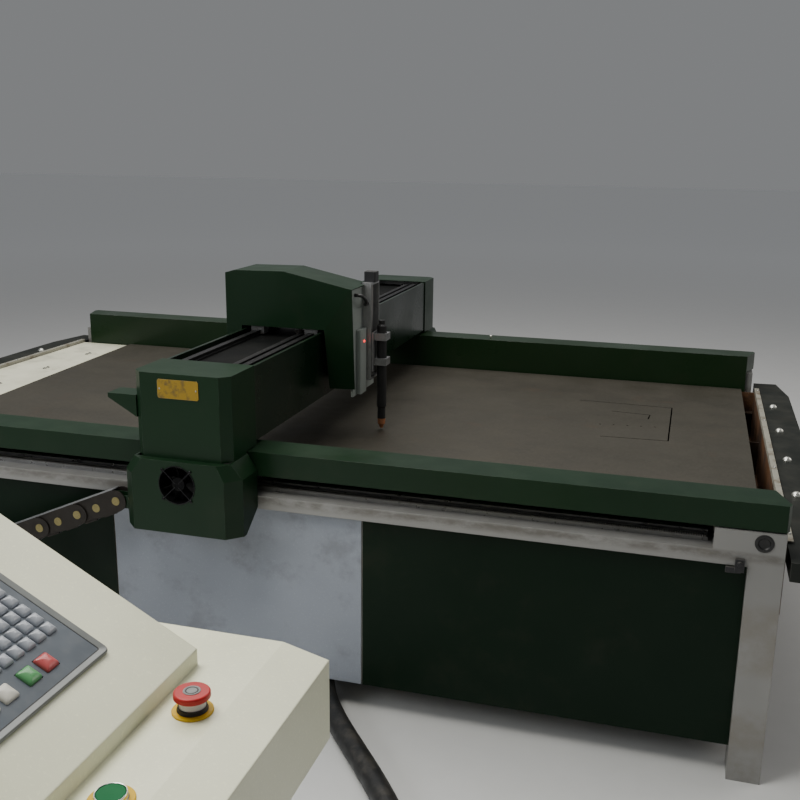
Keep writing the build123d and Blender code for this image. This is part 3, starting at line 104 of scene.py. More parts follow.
# Painted shade under the covers' ledge, mixed with grime, for the frame's band between two heights
FRAME_SHADE_AND_GRIME = (0.085, 0.074, 0.06)
FRAME_BLOTCH = (0.2, 0.175, 0.135)
FRAME_STAIN = (0.15, 0.12, 0.08)
FRAME_DRIP = (0.16, 0.12, 0.08)
FRAME_RUBBED = (0.1, 0.085, 0.07)
FOOT_DIRT = (0.13, 0.105, 0.075)
RUST = (0.17, 0.075, 0.03)
METAL_STAIN = (0.07, 0.055, 0.04)
PLASTIC_DUST = (0.3, 0.28, 0.24)
RUBBER_DUST = (0.16, 0.14, 0.11)
TRAY_DARK = (0.045, 0.028, 0.018)
TRAY_RUST = (0.2, 0.09, 0.035)
SLAG_DUST = (0.035, 0.03, 0.027)
LIP_PAINT = (0.30, 0.29, 0.24)
LIP_DIRT = (0.14, 0.11, 0.075)


# Materials

class Surface:
    """A procedural material, with its patterns in the machine's own metres."""

    def __init__(self, name, **inputs):
        self.material = bpy.data.materials.new(name)
        self.material.use_nodes = True
        self.tree = self.material.node_tree
        self.shader = self.tree.nodes["Principled BSDF"]
        self.place = self.node("TexCoord").outputs["Object"]
        for socket, value in inputs.items():
            self.shader.inputs[socket.replace("_", " ")].default_value = value

    def node(self, kind, **inputs):
        """A new node with these inputs, where an underscore stands for a space."""
        node = self.tree.nodes.new("ShaderNode" + kind)
        for socket, value in inputs.items():
            self.feed(node.inputs[socket.replace("_", " ")], value)
        return node

    def feed(self, socket, value):
        """Sets a socket to a number or colour, or links it to another socket."""
        if isinstance(value, bpy.types.NodeSocket):
            self.tree.links.new(value, socket)
        else:
            socket.default_value = value

    def noise(self, scale, detail=3, roughness=0.5, stretch=(1, 1, 1)):
        mapping = self.node("Mapping", Vector=self.place, Scale=stretch)
        place = mapping.outputs[0]
        noise = self.node("TexNoise", Vector=place, Scale=scale, Detail=detail, Roughness=roughness)
        return noise.outputs["Fac"]

    def z_part(self, vector):
        return self.node("SeparateXYZ", Vector=vector).outputs["Z"]

    def facing_up(self):
        """High on the faces that look up."""
        return self.span(self.z_part(self.node("NewGeometry").outputs["Normal"]), 0.3, 0.9)

    def span(self, value, start, end, low=0.0, high=1.0):
        """The value mapped from start..end to low..high, smoothly and clamped."""
        mapped = self.node("MapRange", Value=value, From_Min=start, From_Max=end, To_Min=low, To_Max=high)
        mapped.interpolation_type = "SMOOTHSTEP"
        return mapped.outputs["Result"]

    def times(self, first, second):
        node = self.node("Math")
        node.operation = "MULTIPLY"
        self.feed(node.inputs[0], first)
        self.feed(node.inputs[1], second)
        return node.outputs[0]

    def mix(self, factor, first, second):
        """The first colour where the factor is 0, the second where it is 1."""
        node = self.node("Mix")
        node.data_type = "RGBA"
        self.feed(node.inputs[0], factor)
        for index, colour in ((6, first), (7, second)):
            self.feed(node.inputs[index], (*colour, 1) if isinstance(colour, tuple) else colour)
        return node.outputs[2]

    def cover(self, base, mask, strength, colour):
        """The base with a colour laid on it where the mask is high."""
        return self.mix(self.times(mask, strength), base, colour)

    def rounded(self, radius):
        """The normal, rounded over the edges."""
        bevel = self.node("Bevel", Radius=radius)
        bevel.samples = 4
        return bevel.outputs[0]

    def rim(self, rounded):
        """High along the edges, where the rounded normal leaves the face's own."""
        dot = self.node("VectorMath")
        dot.operation = "DOT_PRODUCT"
        self.feed(dot.inputs[0], rounded)
        self.feed(dot.inputs[1], self.node("NewGeometry").outputs["True Normal"])
        return self.span(dot.outputs["Value"], 0.995, 0.9)

    def bump(self, height, strength, distance, normal=None):
        bump = self.node("Bump", Strength=strength, Distance=distance, Height=height)
        if normal is not None:
            self.feed(bump.inputs["Normal"], normal)
        self.feed(self.shader.inputs["Normal"], bump.outputs[0])

    def colour(self, value):
        self.feed(self.shader.inputs["Base Color"], value)

    def roughness(self, value):
        self.feed(self.shader.inputs["Roughness"], value)


def shade(colour, factor):
    return tuple(channel * factor for channel in colour)


def paint(name, colour, gloss, dust=0.25, grime=0.2, wear=0.5, edge=1.5 * MM, coat=0.3, shine=0.5,
          bare=BARE_STEEL, dust_and_top_light_colour=DUST, blotches=6.5):
    """Sprayed paint on steel: faint orange peel, dust on what faces up (on the greens, a lighter green that
    is also painted top light), grime in blotches, rubbed edges.
    """
    surface = Surface(name, Coat_Weight=coat, Coat_Roughness=0.12, Specular_IOR_Level=shine)
    tone = surface.span(surface.noise(1.7, 4), 0.3, 0.7)
    base = surface.mix(tone, shade(colour, 0.88), shade(colour, 1.1))
    specks = surface.span(surface.noise(230, 2), 0.58, 0.72)
    base = surface.cover(base, specks, 0.22, shade(colour, 1.5))
    blotch = surface.span(surface.noise(blotches, 9, 0.68), 0.5, 0.7)
    base = surface.cover(base, blotch, grime, GRIME)
    # Dust on what faces up; on the green paints its lighter green also stands for painted top light
    settled = surface.times(surface.span(surface.noise(11, 7, 0.6), 0.35, 0.7), surface.facing_up())
    base = surface.cover(base, settled, dust, dust_and_top_light_colour)
    rounded = surface.rounded(edge)
    rubbed = surface.times(surface.rim(rounded), surface.span(surface.noise(34, 6), 0.42, 0.62))
    surface.colour(surface.cover(base, rubbed, wear, bare))
    surface.roughness(surface.span(surface.noise(5, 6), 0.25, 0.75, gloss, gloss + 0.17))
    surface.bump(surface.noise(420, 2), 0.10, 0.4 * MM, rounded)
    return surface.material


FOOT_REACH = 0.2
STAIN_BANDS = ((0.30, 0.54), (0.08, 0.24))
STAIN_FADE = 0.05
# Fades of the frame's band of painted shade and grime
SHADE_AND_GRIME_FADE_LOW = 0.02
SHADE_AND_GRIME_FADE_HIGH = 0.012


def dirty_paint(name, colour, gloss, low, high):
    """The frame's light paint: painted shade under the covers' ledge, mixed with grime, in a band between
    two heights; stains in two bands, drips, dirt at the foot.
    """
    surface = Surface(name, Coat_Weight=0.15, Coat_Roughness=0.2)
    tone = surface.span(surface.noise(1.3, 4), 0.3, 0.7)
    base = surface.mix(tone, shade(colour, 0.86), shade(colour, 1.05))
    height = surface.z_part(surface.place)
    # Painted shade under the covers' ledge, mixed with grime: the band between low and high is darkened in
    # smears
    above = surface.span(height, low, low + SHADE_AND_GRIME_FADE_LOW)
    below = surface.span(height, high, high - SHADE_AND_GRIME_FADE_HIGH)
    shade_and_smears = surface.span(surface.noise(9, 9, 0.7, (1, 1, 2.2)), 0.34, 0.62)
    shade_and_smears = surface.times(shade_and_smears, surface.times(above, below))
    base = surface.cover(base, shade_and_smears, 0.72, FRAME_SHADE_AND_GRIME)
    near_floor = surface.span(height, FOOT_REACH, 0.0)
    foot = surface.times(near_floor, surface.span(surface.noise(13, 8, 0.7), 0.35, 0.7))
    base = surface.cover(base, foot, 0.55, FOOT_DIRT)
    blotch = surface.span(surface.noise(5.2, 9, 0.7), 0.58, 0.78)
    base = surface.cover(base, blotch, 0.4, FRAME_BLOTCH)
    for bottom, top in STAIN_BANDS:
        above = surface.span(height, bottom, bottom + STAIN_FADE)
        below = surface.span(height, top, top - STAIN_FADE)
        patches = surface.span(surface.noise(7, 8, 0.65), 0.3, 0.6)
        base = surface.cover(base, surface.times(surface.times(above, below), patches), 0.42, FRAME_STAIN)
    drips = surface.span(surface.noise(30, 5, 0.6, (1, 1, 0.06)), 0.66, 0.8)
    base = surface.cover(base, drips, 0.25, FRAME_DRIP)
    rounded = surface.rounded(2 * MM)
    rubbed = surface.times(surface.rim(rounded), surface.span(surface.noise(26, 6), 0.5, 0.62))
    surface.colour(surface.cover(base, rubbed, 0.7, FRAME_RUBBED))
    surface.roughness(surface.span(surface.noise(8, 6), 0.3, 0.7, gloss, gloss + 0.2))
    surface.bump(surface.noise(160, 3), 0.12, 0.6 * MM, rounded)
    return surface.material


def mill_steel(name, colour, rust, scratches):
    """Hot rolled steel: scale in clouds and grain, rolling streaks, rust bloom, fine scratches."""
    surface = Surface(name, Metallic=0.45, Specular_IOR_Level=0.3)
    clouds = surface.span(surface.noise(2.6, 8, 0.62), 0.3, 0.72)
    base = surface.mix(clouds, shade(colour, 0.88), shade(colour, 1.1))
    grain = surface.span(surface.noise(190, 5, 0.75), 0.44, 0.6)
    base = surface.cover(base, grain, 0.55, shade(colour, 1.5))
    streaks = surface.span(surface.noise(7, 6, 0.6, (0.12, 1, 1)), 0.45, 0.75)
    base = surface.cover(base, streaks, 0.2, shade(colour, 0.7))
    bloom = surface.span(surface.noise(4.5, 10, 0.72), 0.56, 0.8)
    base = surface.cover(base, bloom, rust, RUST)
    specks = surface.span(surface.noise(120, 4, 0.7), 0.6, 0.7)
    base = surface.cover(base, specks, 0.4, shade(colour, 0.45))
    lines = surface.span(surface.noise(18, 2, 0.5, (0.05, 9, 1)), 0.70, 0.74)
    surface.colour(surface.cover(base, lines, scratches, shade(colour, 2.2)))
    surface.roughness(surface.span(surface.noise(6, 7), 0.3, 0.7, 0.5, 0.68))
    surface.bump(surface.noise(75, 6, 0.65), 0.18, 0.5 * MM)
    return surface.material


def machined(name, colour, roughness, stretch=(1, 30, 30), stain=0.25, metallic=0.9):
    """Machined or drawn metal: light stains, and fine lines along the axis that is stretched least."""
    surface = Surface(name, Metallic=metallic)
    lines = surface.span(surface.noise(60, 3, 0.5, stretch), 0.3, 0.7)
    base = surface.mix(lines, shade(colour, 0.82), shade(colour, 1.12))
    stains = surface.span(surface.noise(22, 7, 0.65), 0.52, 0.74)
    surface.colour(surface.cover(base, stains, stain, METAL_STAIN))
    surface.roughness(surface.span(surface.noise(40, 4), 0.3, 0.7, roughness, roughness + 0.18))
    surface.bump(lines, 0.08, 0.1 * MM, surface.rounded(0.6 * MM))
    return surface.material


def plastic(name, colour, roughness, grain=600, strength=0.12, dust=0.12, shine=0.5):
    """Moulded plastic with a fine grain and a little dust."""
    surface = Surface(name, Specular_IOR_Level=shine)
    tone = surface.span(surface.noise(9, 4), 0.3, 0.7)
    base = surface.mix(tone, shade(colour, 0.9), shade(colour, 1.08))
    settled = surface.times(surface.span(surface.noise(60, 6), 0.45, 0.7), surface.facing_up())
    surface.colour(surface.cover(base, settled, dust, PLASTIC_DUST))
    surface.roughness(surface.span(surface.noise(50, 4), 0.3, 0.7, roughness, roughness + 0.12))
    surface.bump(surface.noise(grain, 2), strength, 0.15 * MM, surface.rounded(0.7 * MM))
    return surface.material


def rubber(name, colour):
    """Extruded hose rubber, dusty along its top."""
    surface = Surface(name)
    tone = surface.span(surface.noise(14, 6, 0.6), 0.3, 0.7)
    base = surface.mix(tone, shade(colour, 0.75), shade(colour, 1.25))
    settled = surface.times(surface.span(surface.noise(20, 8, 0.65), 0.4, 0.75), surface.facing_up())
    surface.colour(surface.cover(base, settled, 0.3, RUBBER_DUST))
    surface.roughness(surface.span(surface.noise(30, 5), 0.3, 0.7, 0.42, 0.62))
    surface.bump(surface.noise(260, 3), 0.15, 0.3 * MM)
    return surface.material


def tray_steel(name, lip_height):
    """The slag tray: rust and slag dust inside, light paint on its turned lips."""
    surface = Surface(name, Metallic=0.1)
    clouds = surface.span(surface.noise(5, 9, 0.7), 0.3, 0.7)
    base = surface.mix(clouds, TRAY_DARK, TRAY_RUST)
    dust = surface.span(surface.noise(30, 8, 0.7), 0.5, 0.7)
    base = surface.cover(base, dust, 0.5, SLAG_DUST)
    painted = surface.mix(surface.span(surface.noise(14, 7, 0.65), 0.5, 0.7), LIP_PAINT, LIP_DIRT)
    lip = surface.span(surface.z_part(surface.place), lip_height - MM, lip_height)
    surface.colour(surface.mix(lip, base, painted))
    surface.roughness(surface.span(surface.noise(12, 6), 0.3, 0.7, 0.5, 0.8))
    surface.bump(surface.noise(90, 6, 0.7), 0.35, 0.8 * MM)
    return surface.material


def two_tone(name, first, second, height, roughness):
    """One colour below a height and another above it."""
    surface = Surface(name, Coat_Weight=0.06, Coat_Roughness=0.15, Specular_IOR_Level=0.25)
    tone = surface.span(surface.noise(40, 4), 0.3, 0.7)
    lower = surface.mix(tone, shade(first, 0.9), shade(first, 1.08))
    upper = surface.mix(tone, shade(second, 0.9), shade(second, 1.08))
    split = surface.span(surface.z_part(surface.place), height - 0.3 * MM, height)
    surface.colour(surface.mix(split, lower, upper))
    surface.roughness(surface.span(surface.noise(80, 4), 0.3, 0.7, roughness, roughness + 0.1))
    surface.bump(surface.noise(500, 2), 0.08, 0.1 * MM)
    return surface.material


def glass(name):
    """Dark screen glass with smudges."""
    surface = Surface(name, Coat_Weight=1.0, Coat_Roughness=0.03)
    smudge = surface.span(surface.noise(14, 7, 0.6), 0.45, 0.75)
    surface.colour(surface.mix(smudge, (0.006, 0.008, 0.010), (0.012, 0.015, 0.018)))
    surface.roughness(surface.span(smudge, 0, 1, 0.05, 0.16))
    return surface.material


def lit_lens(name):
    """A red lamp that glows."""
    surface = Surface(name, Emission_Strength=2.2)
    glow = surface.mix(surface.noise(300), (0.9, 0.02, 0.02), (1.0, 0.08, 0.06))
    surface.colour(glow)
    surface.feed(surface.shader.inputs["Emission Color"], glow)
    return surface.material


ESTOP_CAP_HEIGHT = 7.5 * MM
LIP_HEIGHT = 0.6405
# Heights of the frame's band of painted shade and grime, under the covers' ledge
SHADE_AND_GRIME_HEIGHTS = (0.63, 0.668)

# How the noise of each metal is stretched, and the scale of a fine plastic grain

ROUND = (8, 8, 8)
POLISHED = (4, 4, 4)
BALL_GRAIN = (40, 40, 40)
ZINC_GRAIN = (10, 10, 10)
TURNED = (30, 30, 1)
ALONG_Y = (30, 1, 30)
FINE = 900

materials = {
    "green": paint("green_gloss", GREEN, 0.28, dust=0.1, grime=0.08, wear=0.6, coat=0.03, shine=0.2,
                   bare=WORN_GREEN, dust_and_top_light_colour=GREEN_DUST_AND_TOP_LIGHT),
    "beam_green": paint("green_beam", SHADED_BEAM_GREEN, 0.2, dust=0.15, grime=0.1, wear=0.6, coat=0.05,
                        shine=0.35, bare=WORN_GREEN, dust_and_top_light_colour=GREEN_DUST_AND_TOP_LIGHT),
    "far_green": paint("green_far_cover", FAR_GREEN, 0.26, dust=0.06, grime=0.08, wear=0.9, coat=0.05,
                       shine=0.2, bare=(0.30, 0.30, 0.28), dust_and_top_light_colour=GREEN_DUST_AND_TOP_LIGHT),
    "panel_green": paint("green_panel", SHADED_PANEL_GREEN, 0.4, dust=0.03, grime=0.1, wear=0.2, coat=0.0,
                         shine=0.15),
    "white_frame": dirty_paint("frame_paint", SHADED_FRAME_WHITE, 0.36, *SHADE_AND_GRIME_HEIGHTS),
    "white_panel": paint("panel_paint", SHADED_PANEL_WHITE, 0.42, dust=0.1, grime=0.3, wear=0.3, coat=0.05),
    "cream": paint("console_paint", CREAM, 0.34, dust=0.05, grime=0.06, wear=0.15, edge=3 * MM, coat=0.1),
    "deck": paint("deck_paint", DECK_CREAM, 0.34, dust=0.12, grime=0.3, wear=0.35, coat=0.2),
    "strip": paint("strip_paint", STRIP_GREY, 0.46, dust=0.07, grime=0.15, wear=0.4, coat=0.0, shine=0.1),
    "beam_black": paint("beam_paint", BEAM_BLACK, 0.55, dust=0.015, grime=0.02, wear=0.2, coat=0.0,
                        shine=0.08),
    "grey": paint("lift_paint", LIFT_GREY, 0.36, dust=0.15, grime=0.35, wear=0.4, coat=0.05),
    "tray_grey": paint("chain_tray_zinc", ZINC, 0.38, dust=0.3, grime=0.3, wear=0.4, coat=0.0),
    "yellow": paint("plaque_yellow", PLAQUE, 0.4, dust=0.1, grime=0.7, wear=0.7, coat=0.0, shine=0.3,
                    blotches=45),
    "motor": paint("motor_black", (0.010, 0.010, 0.012), 0.42, dust=0.2, grime=0.1, wear=0.3, coat=0.0),
    "plate": mill_steel("plate_steel", PLATE, rust=0.2, scratches=0.25),
    "slat": mill_steel("slat_steel", SLAT_BROWN, rust=0.75, scratches=0.2),
    "tray": tray_steel("tray_steel", LIP_HEIGHT),
    "steel": machined("ground_steel", (0.30, 0.295, 0.29), 0.26),
    "dark_steel": machined("black_oxide_steel", (0.014, 0.014, 0.015), 0.38, ALONG_Y, stain=0.1,
                           metallic=0.6),
    "cut_steel": machined("gear_steel", (0.30, 0.29, 0.275), 0.3, TURNED, stain=0.35),
    "aluminium": machined("anodised_aluminium", (0.34, 0.34, 0.345), 0.32, TURNED, stain=0.35,
                          metallic=0.75),
    "chain_plate": machined("chain_plates", (0.020, 0.0165, 0.0135), 0.4, ROUND, stain=0.3, metallic=0.5),
    "chain_strip": machined("chain_strips", (0.23, 0.235, 0.245), 0.42, ROUND, stain=0.2, metallic=0.35),
    "brass": machined("chain_pin_heads", (0.27, 0.23, 0.10), 0.36, ROUND, stain=0.45, metallic=0.75),
    "guard_wire": machined("guard_wire", (0.024, 0.024, 0.026), 0.14, ROUND, stain=0.1, metallic=0.9),
    "copper": machined("copper_tip", (0.62, 0.27, 0.14), 0.3, TURNED, stain=0.4),
    "balls": machined("polished_balls", (0.66, 0.66, 0.60), 0.2, BALL_GRAIN, stain=0.15, metallic=0.9),
    "chrome": machined("chrome_ring", (0.78, 0.78, 0.78), 0.08, POLISHED, stain=0.05, metallic=1.0),
    "screw": machined("zinc_screws", (0.42, 0.42, 0.40), 0.25, ZINC_GRAIN, stain=0.3),
    "rubber": rubber("black_hose", (0.010, 0.0105, 0.011)),
    "black_plastic": plastic("black_plastic", (0.009, 0.009, 0.0095), 0.4, dust=0.05),
    "fan_black": plastic("fan_black", (0.0035, 0.0035, 0.004), 0.55, dust=0.0, shine=0.12),
    "keypad": plastic("keypad_grey", (0.062, 0.078, 0.098), 0.42, FINE, strength=0.08, dust=0.05),
    "key": plastic("key_silver", (0.36, 0.38, 0.42), 0.2, FINE, strength=0.03, dust=0.04),
    "key_white": plastic("key_white", (0.62, 0.60, 0.53), 0.3, FINE, strength=0.03, dust=0.04),
    "trim": plastic("keypad_trim", (0.19, 0.20, 0.195), 0.34, FINE, strength=0.05, dust=0.05),
    "trim_line": plastic("keypad_line", (0.012, 0.013, 0.015), 0.4, FINE, strength=0.05, dust=0.02),
    "red_soft": plastic("red_key", (0.50, 0.085, 0.085), 0.26, FINE, strength=0.04, dust=0.05),
    "green_soft": plastic("green_key", (0.10, 0.33, 0.12), 0.26, FINE, strength=0.04, dust=0.05),
    "green_cap": plastic("green_cap", (0.002, 0.13, 0.04), 0.34, FINE, strength=0.04, dust=0.0, shine=0.08),
    "yellow_plastic": plastic("yellow_base", (0.66, 0.41, 0.012), 0.36, FINE, strength=0.05, dust=0.02,
                              shine=0.2),
    "grey_plastic": plastic("grey_disc", (0.24, 0.25, 0.245), 0.3, FINE, strength=0.05, dust=0.03,
                            shine=0.3),
    "estop": two_tone("estop_cap", CAP_STEM, CAP_RED, estop_high.z - ESTOP_CAP_HEIGHT, 0.3),
    "screen": glass("screen_glass"),
    "lamp": lit_lens("red_lamp"),
}

node_materials = {
    "green": ["near_cover", "near_upper_housing", "near_lower_housing", "far_end_housing", "hood"],
    "beam_green": ["beam_covers"],
    "far_green": ["far_cover"],
    "panel_green": ["green_panels"],
    "white_frame": ["near_side_frame", "far_side_frame", "cross_members"],
    "white_panel": ["white_panel"],
    "cream": ["console_desk", "console_pedestal", "monitor_case"],
    "deck": ["left_deck"],
    "strip": ["end_strips"],
    "beam_black": ["beam"],
    "grey": ["lift_mount_plate", "height_box", "junction_box"],
    "tray_grey": ["chain_tray"],
    "yellow": ["plaque"],
    "plate": ["steel_plate"],
    "slat": ["slats", "slat_supports"],
    "tray": ["slag_tray"],
    "steel": ["x_guides", "end_plates", "x_guide_blocks", "y_guide_blocks", "carriage_plate"],
    "dark_steel": ["y_guides"],
    "cut_steel": ["near_pinion", "far_pinion", "y_pinion", "lift_screw"],
    "aluminium": ["lift_housing", "torch_slide"],
    "chain_plate": ["chain_lower_run", "chain_upper_run"],
    "copper": ["nozzle"],
    "balls": ["transfer_balls"],
    "motor": ["x_motors", "carriage_motors"],
    "rubber": ["torch_hose", "conduit"],
    "black_plastic": ["torch_body"],
    "fan_black": ["fan_frame", "fan_rotor"],
    "guard_wire": ["fan_guard"],
    "keypad": ["keypad_panel"],
    "key": ["keypad_keys"],
    "screen": ["screen"],
    "yellow_plastic": ["estop_collar", "start_collar"],
    "estop": ["estop_button"],
    "green_cap": ["start_button"],
    "red_soft": ["red_key"],
    "green_soft": ["green_key"],
}

for finish, names in node_materials.items():
    for name in names:
        for material_slot in nodes[name].material_slots:
            material_slot.material = materials[finish]


# Mesh pieces

def circle(place, radius, height, segments, hexagon=False):
    """Points round a frame's z axis, on a circle or on the hexagon about it."""
    points = []
    for step in range(segments):
        angle = math.tau * step / segments
        reach = radius
        if hexagon:
            reach = radius / math.cos((angle + math.pi / 6) % (math.pi / 3) - math.pi / 6)
        points.append(place @ Vector((reach * math.cos(angle), reach * math.sin(angle), height)))
    return points


class Piece:
    """A mesh built from turned, boxed and drawn forms, in the shared frame."""

    def __init__(self):
        self.mesh = bmesh.new()

    def rings(self, rings, loop=False):
        """Joins rings of points in order, then closes both ends or joins the last ring to the first."""
        made = [[self.mesh.verts.new(point) for point in ring] for ring in rings]
        following = made[1:] + made[:1] if loop else made[1:]
        for lower, upper in zip(made, following):
            for index in range(len(lower)):
                after = (index + 1) % len(lower)
                self.mesh.faces.new((lower[index], lower[after], upper[after], upper[index]))
        if not loop:
            self.mesh.faces.new(list(reversed(made[0])))
            self.mesh.faces.new(made[-1])

    def turned(self, profile, place, segments=24, hexagons=()):
        """A turned form from (radius, height) pairs. hexagons lists the pairs that are hexagons."""
        self.rings([
            circle(place, radius, height, segments, index in hexagons)
            for index, (radius, height) in enumerate(profile)
        ])

    def hollow(self, profile, place, segments=48):
        """A ring: the profile turned round the axis and joined to its own start."""
        self.rings([circle(place, radius, height, segments) for radius, height in profile], loop=True)

    def block(self, low, high, place):
        corners = [(low[0], low[1]), (high[0], low[1]), (high[0], high[1]), (low[0], high[1])]
        self.rings([[place @ Vector((x, y, z)) for x, y in corners] for z in (low[2], high[2])])

    def done(self, name, body, finish, bevel=0.0, smooth=32):
        """Makes the object. Edges sharper than smooth, in degrees, stay sharp."""
        bmesh.ops.recalc_face_normals(self.mesh, faces=self.mesh.faces)
        mesh = bpy.data.meshes.new(name)
        self.mesh.to_mesh(mesh)
        self.mesh.free()
        mesh.materials.append(materials[finish])
        for polygon in mesh.polygons:
            polygon.use_smooth = True
        mesh.set_sharp_from_angle(angle=math.radians(smooth))
        piece = bpy.data.objects.new(name, mesh)
        bpy.context.scene.collection.objects.link(piece)
        if bevel:
            modifier = piece.modifiers.new("rounded", "BEVEL")
            modifier.width = bevel
            modifier.segments = 2
            modifier.limit_method = "ANGLE"
        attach(piece, body)
        return piece


def facing(place, normal, spin=0.0):
    """A frame at a place whose z points along a normal."""
    turn = Vector(normal).to_track_quat("Z", "Y").to_matrix().to_4x4()
    return Matrix.Translation(place) @ turn @ Matrix.Rotation(spin, 4, "Z")


def socket_screw(piece, place, normal, radius, height):
    """A cap screw head with a hexagon socket, turned differently at each place."""
    seat = facing(place, normal, place[0] * 40 + place[1] * 70)
    profile = [
        (radius, 0), (radius, 0.85 * height), (0.9 * radius, height),
        (0.52 * radius, height), (0.5 * radius, 0.45 * height), (0.02 * radius, 0.42 * height),
    ]
    piece.turned(profile, seat, hexagons=(3, 4))


def hex_bolt(piece, place, normal, radius, height):
    """A hexagon head on a washer, turned differently at each place."""
    seat = facing(place, normal, place[0] * 35 + place[1] * 55)
    washer = [(1.45 * radius, 0), (1.45 * radius, 0.2 * height), (1.3 * radius, 0.24 * height)]
    head = [
        (0.9 * radius, 0.2 * height), (0.9 * radius, 0.9 * height),
        (0.75 * radius, height), (0.02 * radius, height),
    ]
    piece.turned(washer, seat)
    piece.turned(head, seat, hexagons=(0, 1))


def dome_screw(piece, place, normal, radius, height):
    """A pan head with a shallow dish in place of its slot."""
    profile = [
        (radius, 0), (0.97 * radius, 0.4 * height), (0.75 * radius, 0.85 * height),
        (0.4 * radius, height), (0.25 * radius, 0.75 * height), (0.02 * radius, 0.6 * height),
    ]
    piece.turned(profile, facing(place, normal), 16)


# The conduit from the junction box to the console

CONDUIT_DIAMETER = 0.065
CONDUIT_ROUTE = [
    (0.335, -0.714, 0.084), (0.335, -0.820, 0.084), (0.351, -0.925, 0.064), (0.403, -1.035, 0.042),
    (0.480, -1.140, 0.034), (0.576, -1.258, 0.035), (0.682, -1.390, 0.034), (0.790, -1.545, 0.034),
    (0.862, -1.725, 0.034), (0.884, -1.915, 0.034), (0.862, -2.085, 0.034), (0.815, -2.230, 0.037),
    (0.760, -2.350, 0.050), (0.730, -2.465, 0.062), (0.730, -2.576, 0.062),
]


def conduit():
    curve = bpy.data.curves.new("conduit_hose", "CURVE")
    curve.dimensions = "3D"
    curve.resolution_u = 12
    curve.bevel_depth = CONDUIT_DIAMETER / 2
    curve.bevel_resolution = 8
    spline = curve.splines.new("NURBS")
    spline.points.add(len(CONDUIT_ROUTE) - 1)
    for point, place in zip(spline.points, CONDUIT_ROUTE):
        point.co = (*place, 1)
    spline.order_u = 3
    spline.use_endpoint_u = True
    curve.materials.append(materials["rubber"])
    hose = bpy.data.objects.new("conduit_hose", curve)
    bpy.context.scene.collection.objects.link(hose)
    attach(hose, "table")
    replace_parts(hose, "conduit")


conduit()


# The cable chain: dark plates, zinc strips and brass pin heads
# Its lower run rides on the table; the upper run's place is baked into its mesh

CHAIN_WIDTH = 0.045
STRIP_SPAN = 0.8 * CHAIN_WIDTH
HEAD_REACH = CHAIN_WIDTH / 2 + 0.2 * MM
CHAIN_FINISHES = ("chain_plate", "chain_strip", "brass")


def chain_run(node, name):
    """A copy of one run, with a finish for each kind of face."""
    mesh = nodes[node].data.copy()
    mesh.name = name
    mesh.materials.clear()
    for finish in CHAIN_FINISHES:
        mesh.materials.append(materials[finish])
    low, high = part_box(node)
    middle = (low.y + high.y) / 2
    for polygon in mesh.polygons:
        sides = [mesh.vertices[index].co.y for index in polygon.vertices]
        if max(sides) - min(sides) > STRIP_SPAN:
            finish = "chain_strip"
        elif max(abs(side - middle) for side in sides) > HEAD_REACH:
            finish = "brass"
        else:
            finish = "chain_plate"
        polygon.material_index = CHAIN_FINISHES.index(finish)
    run = bpy.data.objects.new(name, mesh)
    bpy.context.scene.collection.objects.link(run)
    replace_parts(run, node)
    return run


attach(chain_run("chain_lower_run", "chain_resting_run"), "table")
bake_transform(chain_run("chain_upper_run", "chain_flexing_run"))


# Rack teeth, which mesh with the pinions

GEAR_MODULE = 2 * MM
TOOTH_PITCH = math.pi * GEAR_MODULE
TOOTH_HEIGHT = 2.25 * GEAR_MODULE
TOOTH_ROOT = 0.34
TOOTH_TIP = 0.09
GANTRY_X = (beam_low.x + beam_high.x) / 2
CARRIAGE_Y = -0.310
RACK_OFFSET = 0.968
RACK_WIDTH = 0.018
RACK_TOP = 0.6755
CROSS_RACK_OFFSET = 0.055
CROSS_RACK_Z = 1.0195
CROSS_RACK_HEIGHT = 0.012


def tooth_places(start, end, gap_at):
    """Places of teeth between two ends, with the middle of a gap at one place."""
    first = math.ceil((start - gap_at) / TOOTH_PITCH)
    last = math.floor((end - gap_at) / TOOTH_PITCH)
    return [gap_at + (index + 0.5) * TOOTH_PITCH for index in range(first, last)]


def rack_tooth(piece, root, along, out, across, width):
    """One tooth: a trapezium along the rack, drawn across it."""
    corners = ((-TOOTH_ROOT, 0.0), (-TOOTH_TIP, TOOTH_HEIGHT), (TOOTH_TIP, TOOTH_HEIGHT), (TOOTH_ROOT, 0.0))
    points = [root + along * share * TOOTH_PITCH + out * height for share, height in corners]
    piece.rings([[point + across * side * width / 2 for point in points] for side in (-1, 1)])


table_rack = Piece()
for x in tooth_places(rail_low.x, rail_high.x, GANTRY_X):
    for side in (-1, 1):
        root = Vector((x, side * RACK_OFFSET, RACK_TOP))
        rack_tooth(table_rack, root, X_AXIS, Z_AXIS, Y_AXIS, RACK_WIDTH)
table_rack.done("table_rack_teeth", "table", "cut_steel", smooth=10)

cross_rack = Piece()
for y in tooth_places(cross_low.y, cross_high.y, CARRIAGE_Y):
    root = Vector((GANTRY_X + CROSS_RACK_OFFSET, y, CROSS_RACK_Z))
    rack_tooth(cross_rack, root, Y_AXIS, -X_AXIS, Z_AXIS, CROSS_RACK_HEIGHT)
cross_rack.done("cross_rack_teeth", "gantry", "cut_steel", smooth=10)


# Screws along the guides. The sizes of screws and bolts are radius and height

SCREW_PITCH = 0.100
SCREW_SIZE = (4 * MM, 1.2 * MM)
GUIDE_SCREWS = 29
GUIDE_SCREW_FIRST = 0.055
GUIDE_SCREW_Z = 0.6835
GUIDE_Y = 0.935
CROSS_SCREWS = 19
CROSS_SCREW_FIRST = 0.05
CROSS_SCREW_DEPTH = 1.15 * MM
CROSS_GUIDE_OFFSET = 0.100

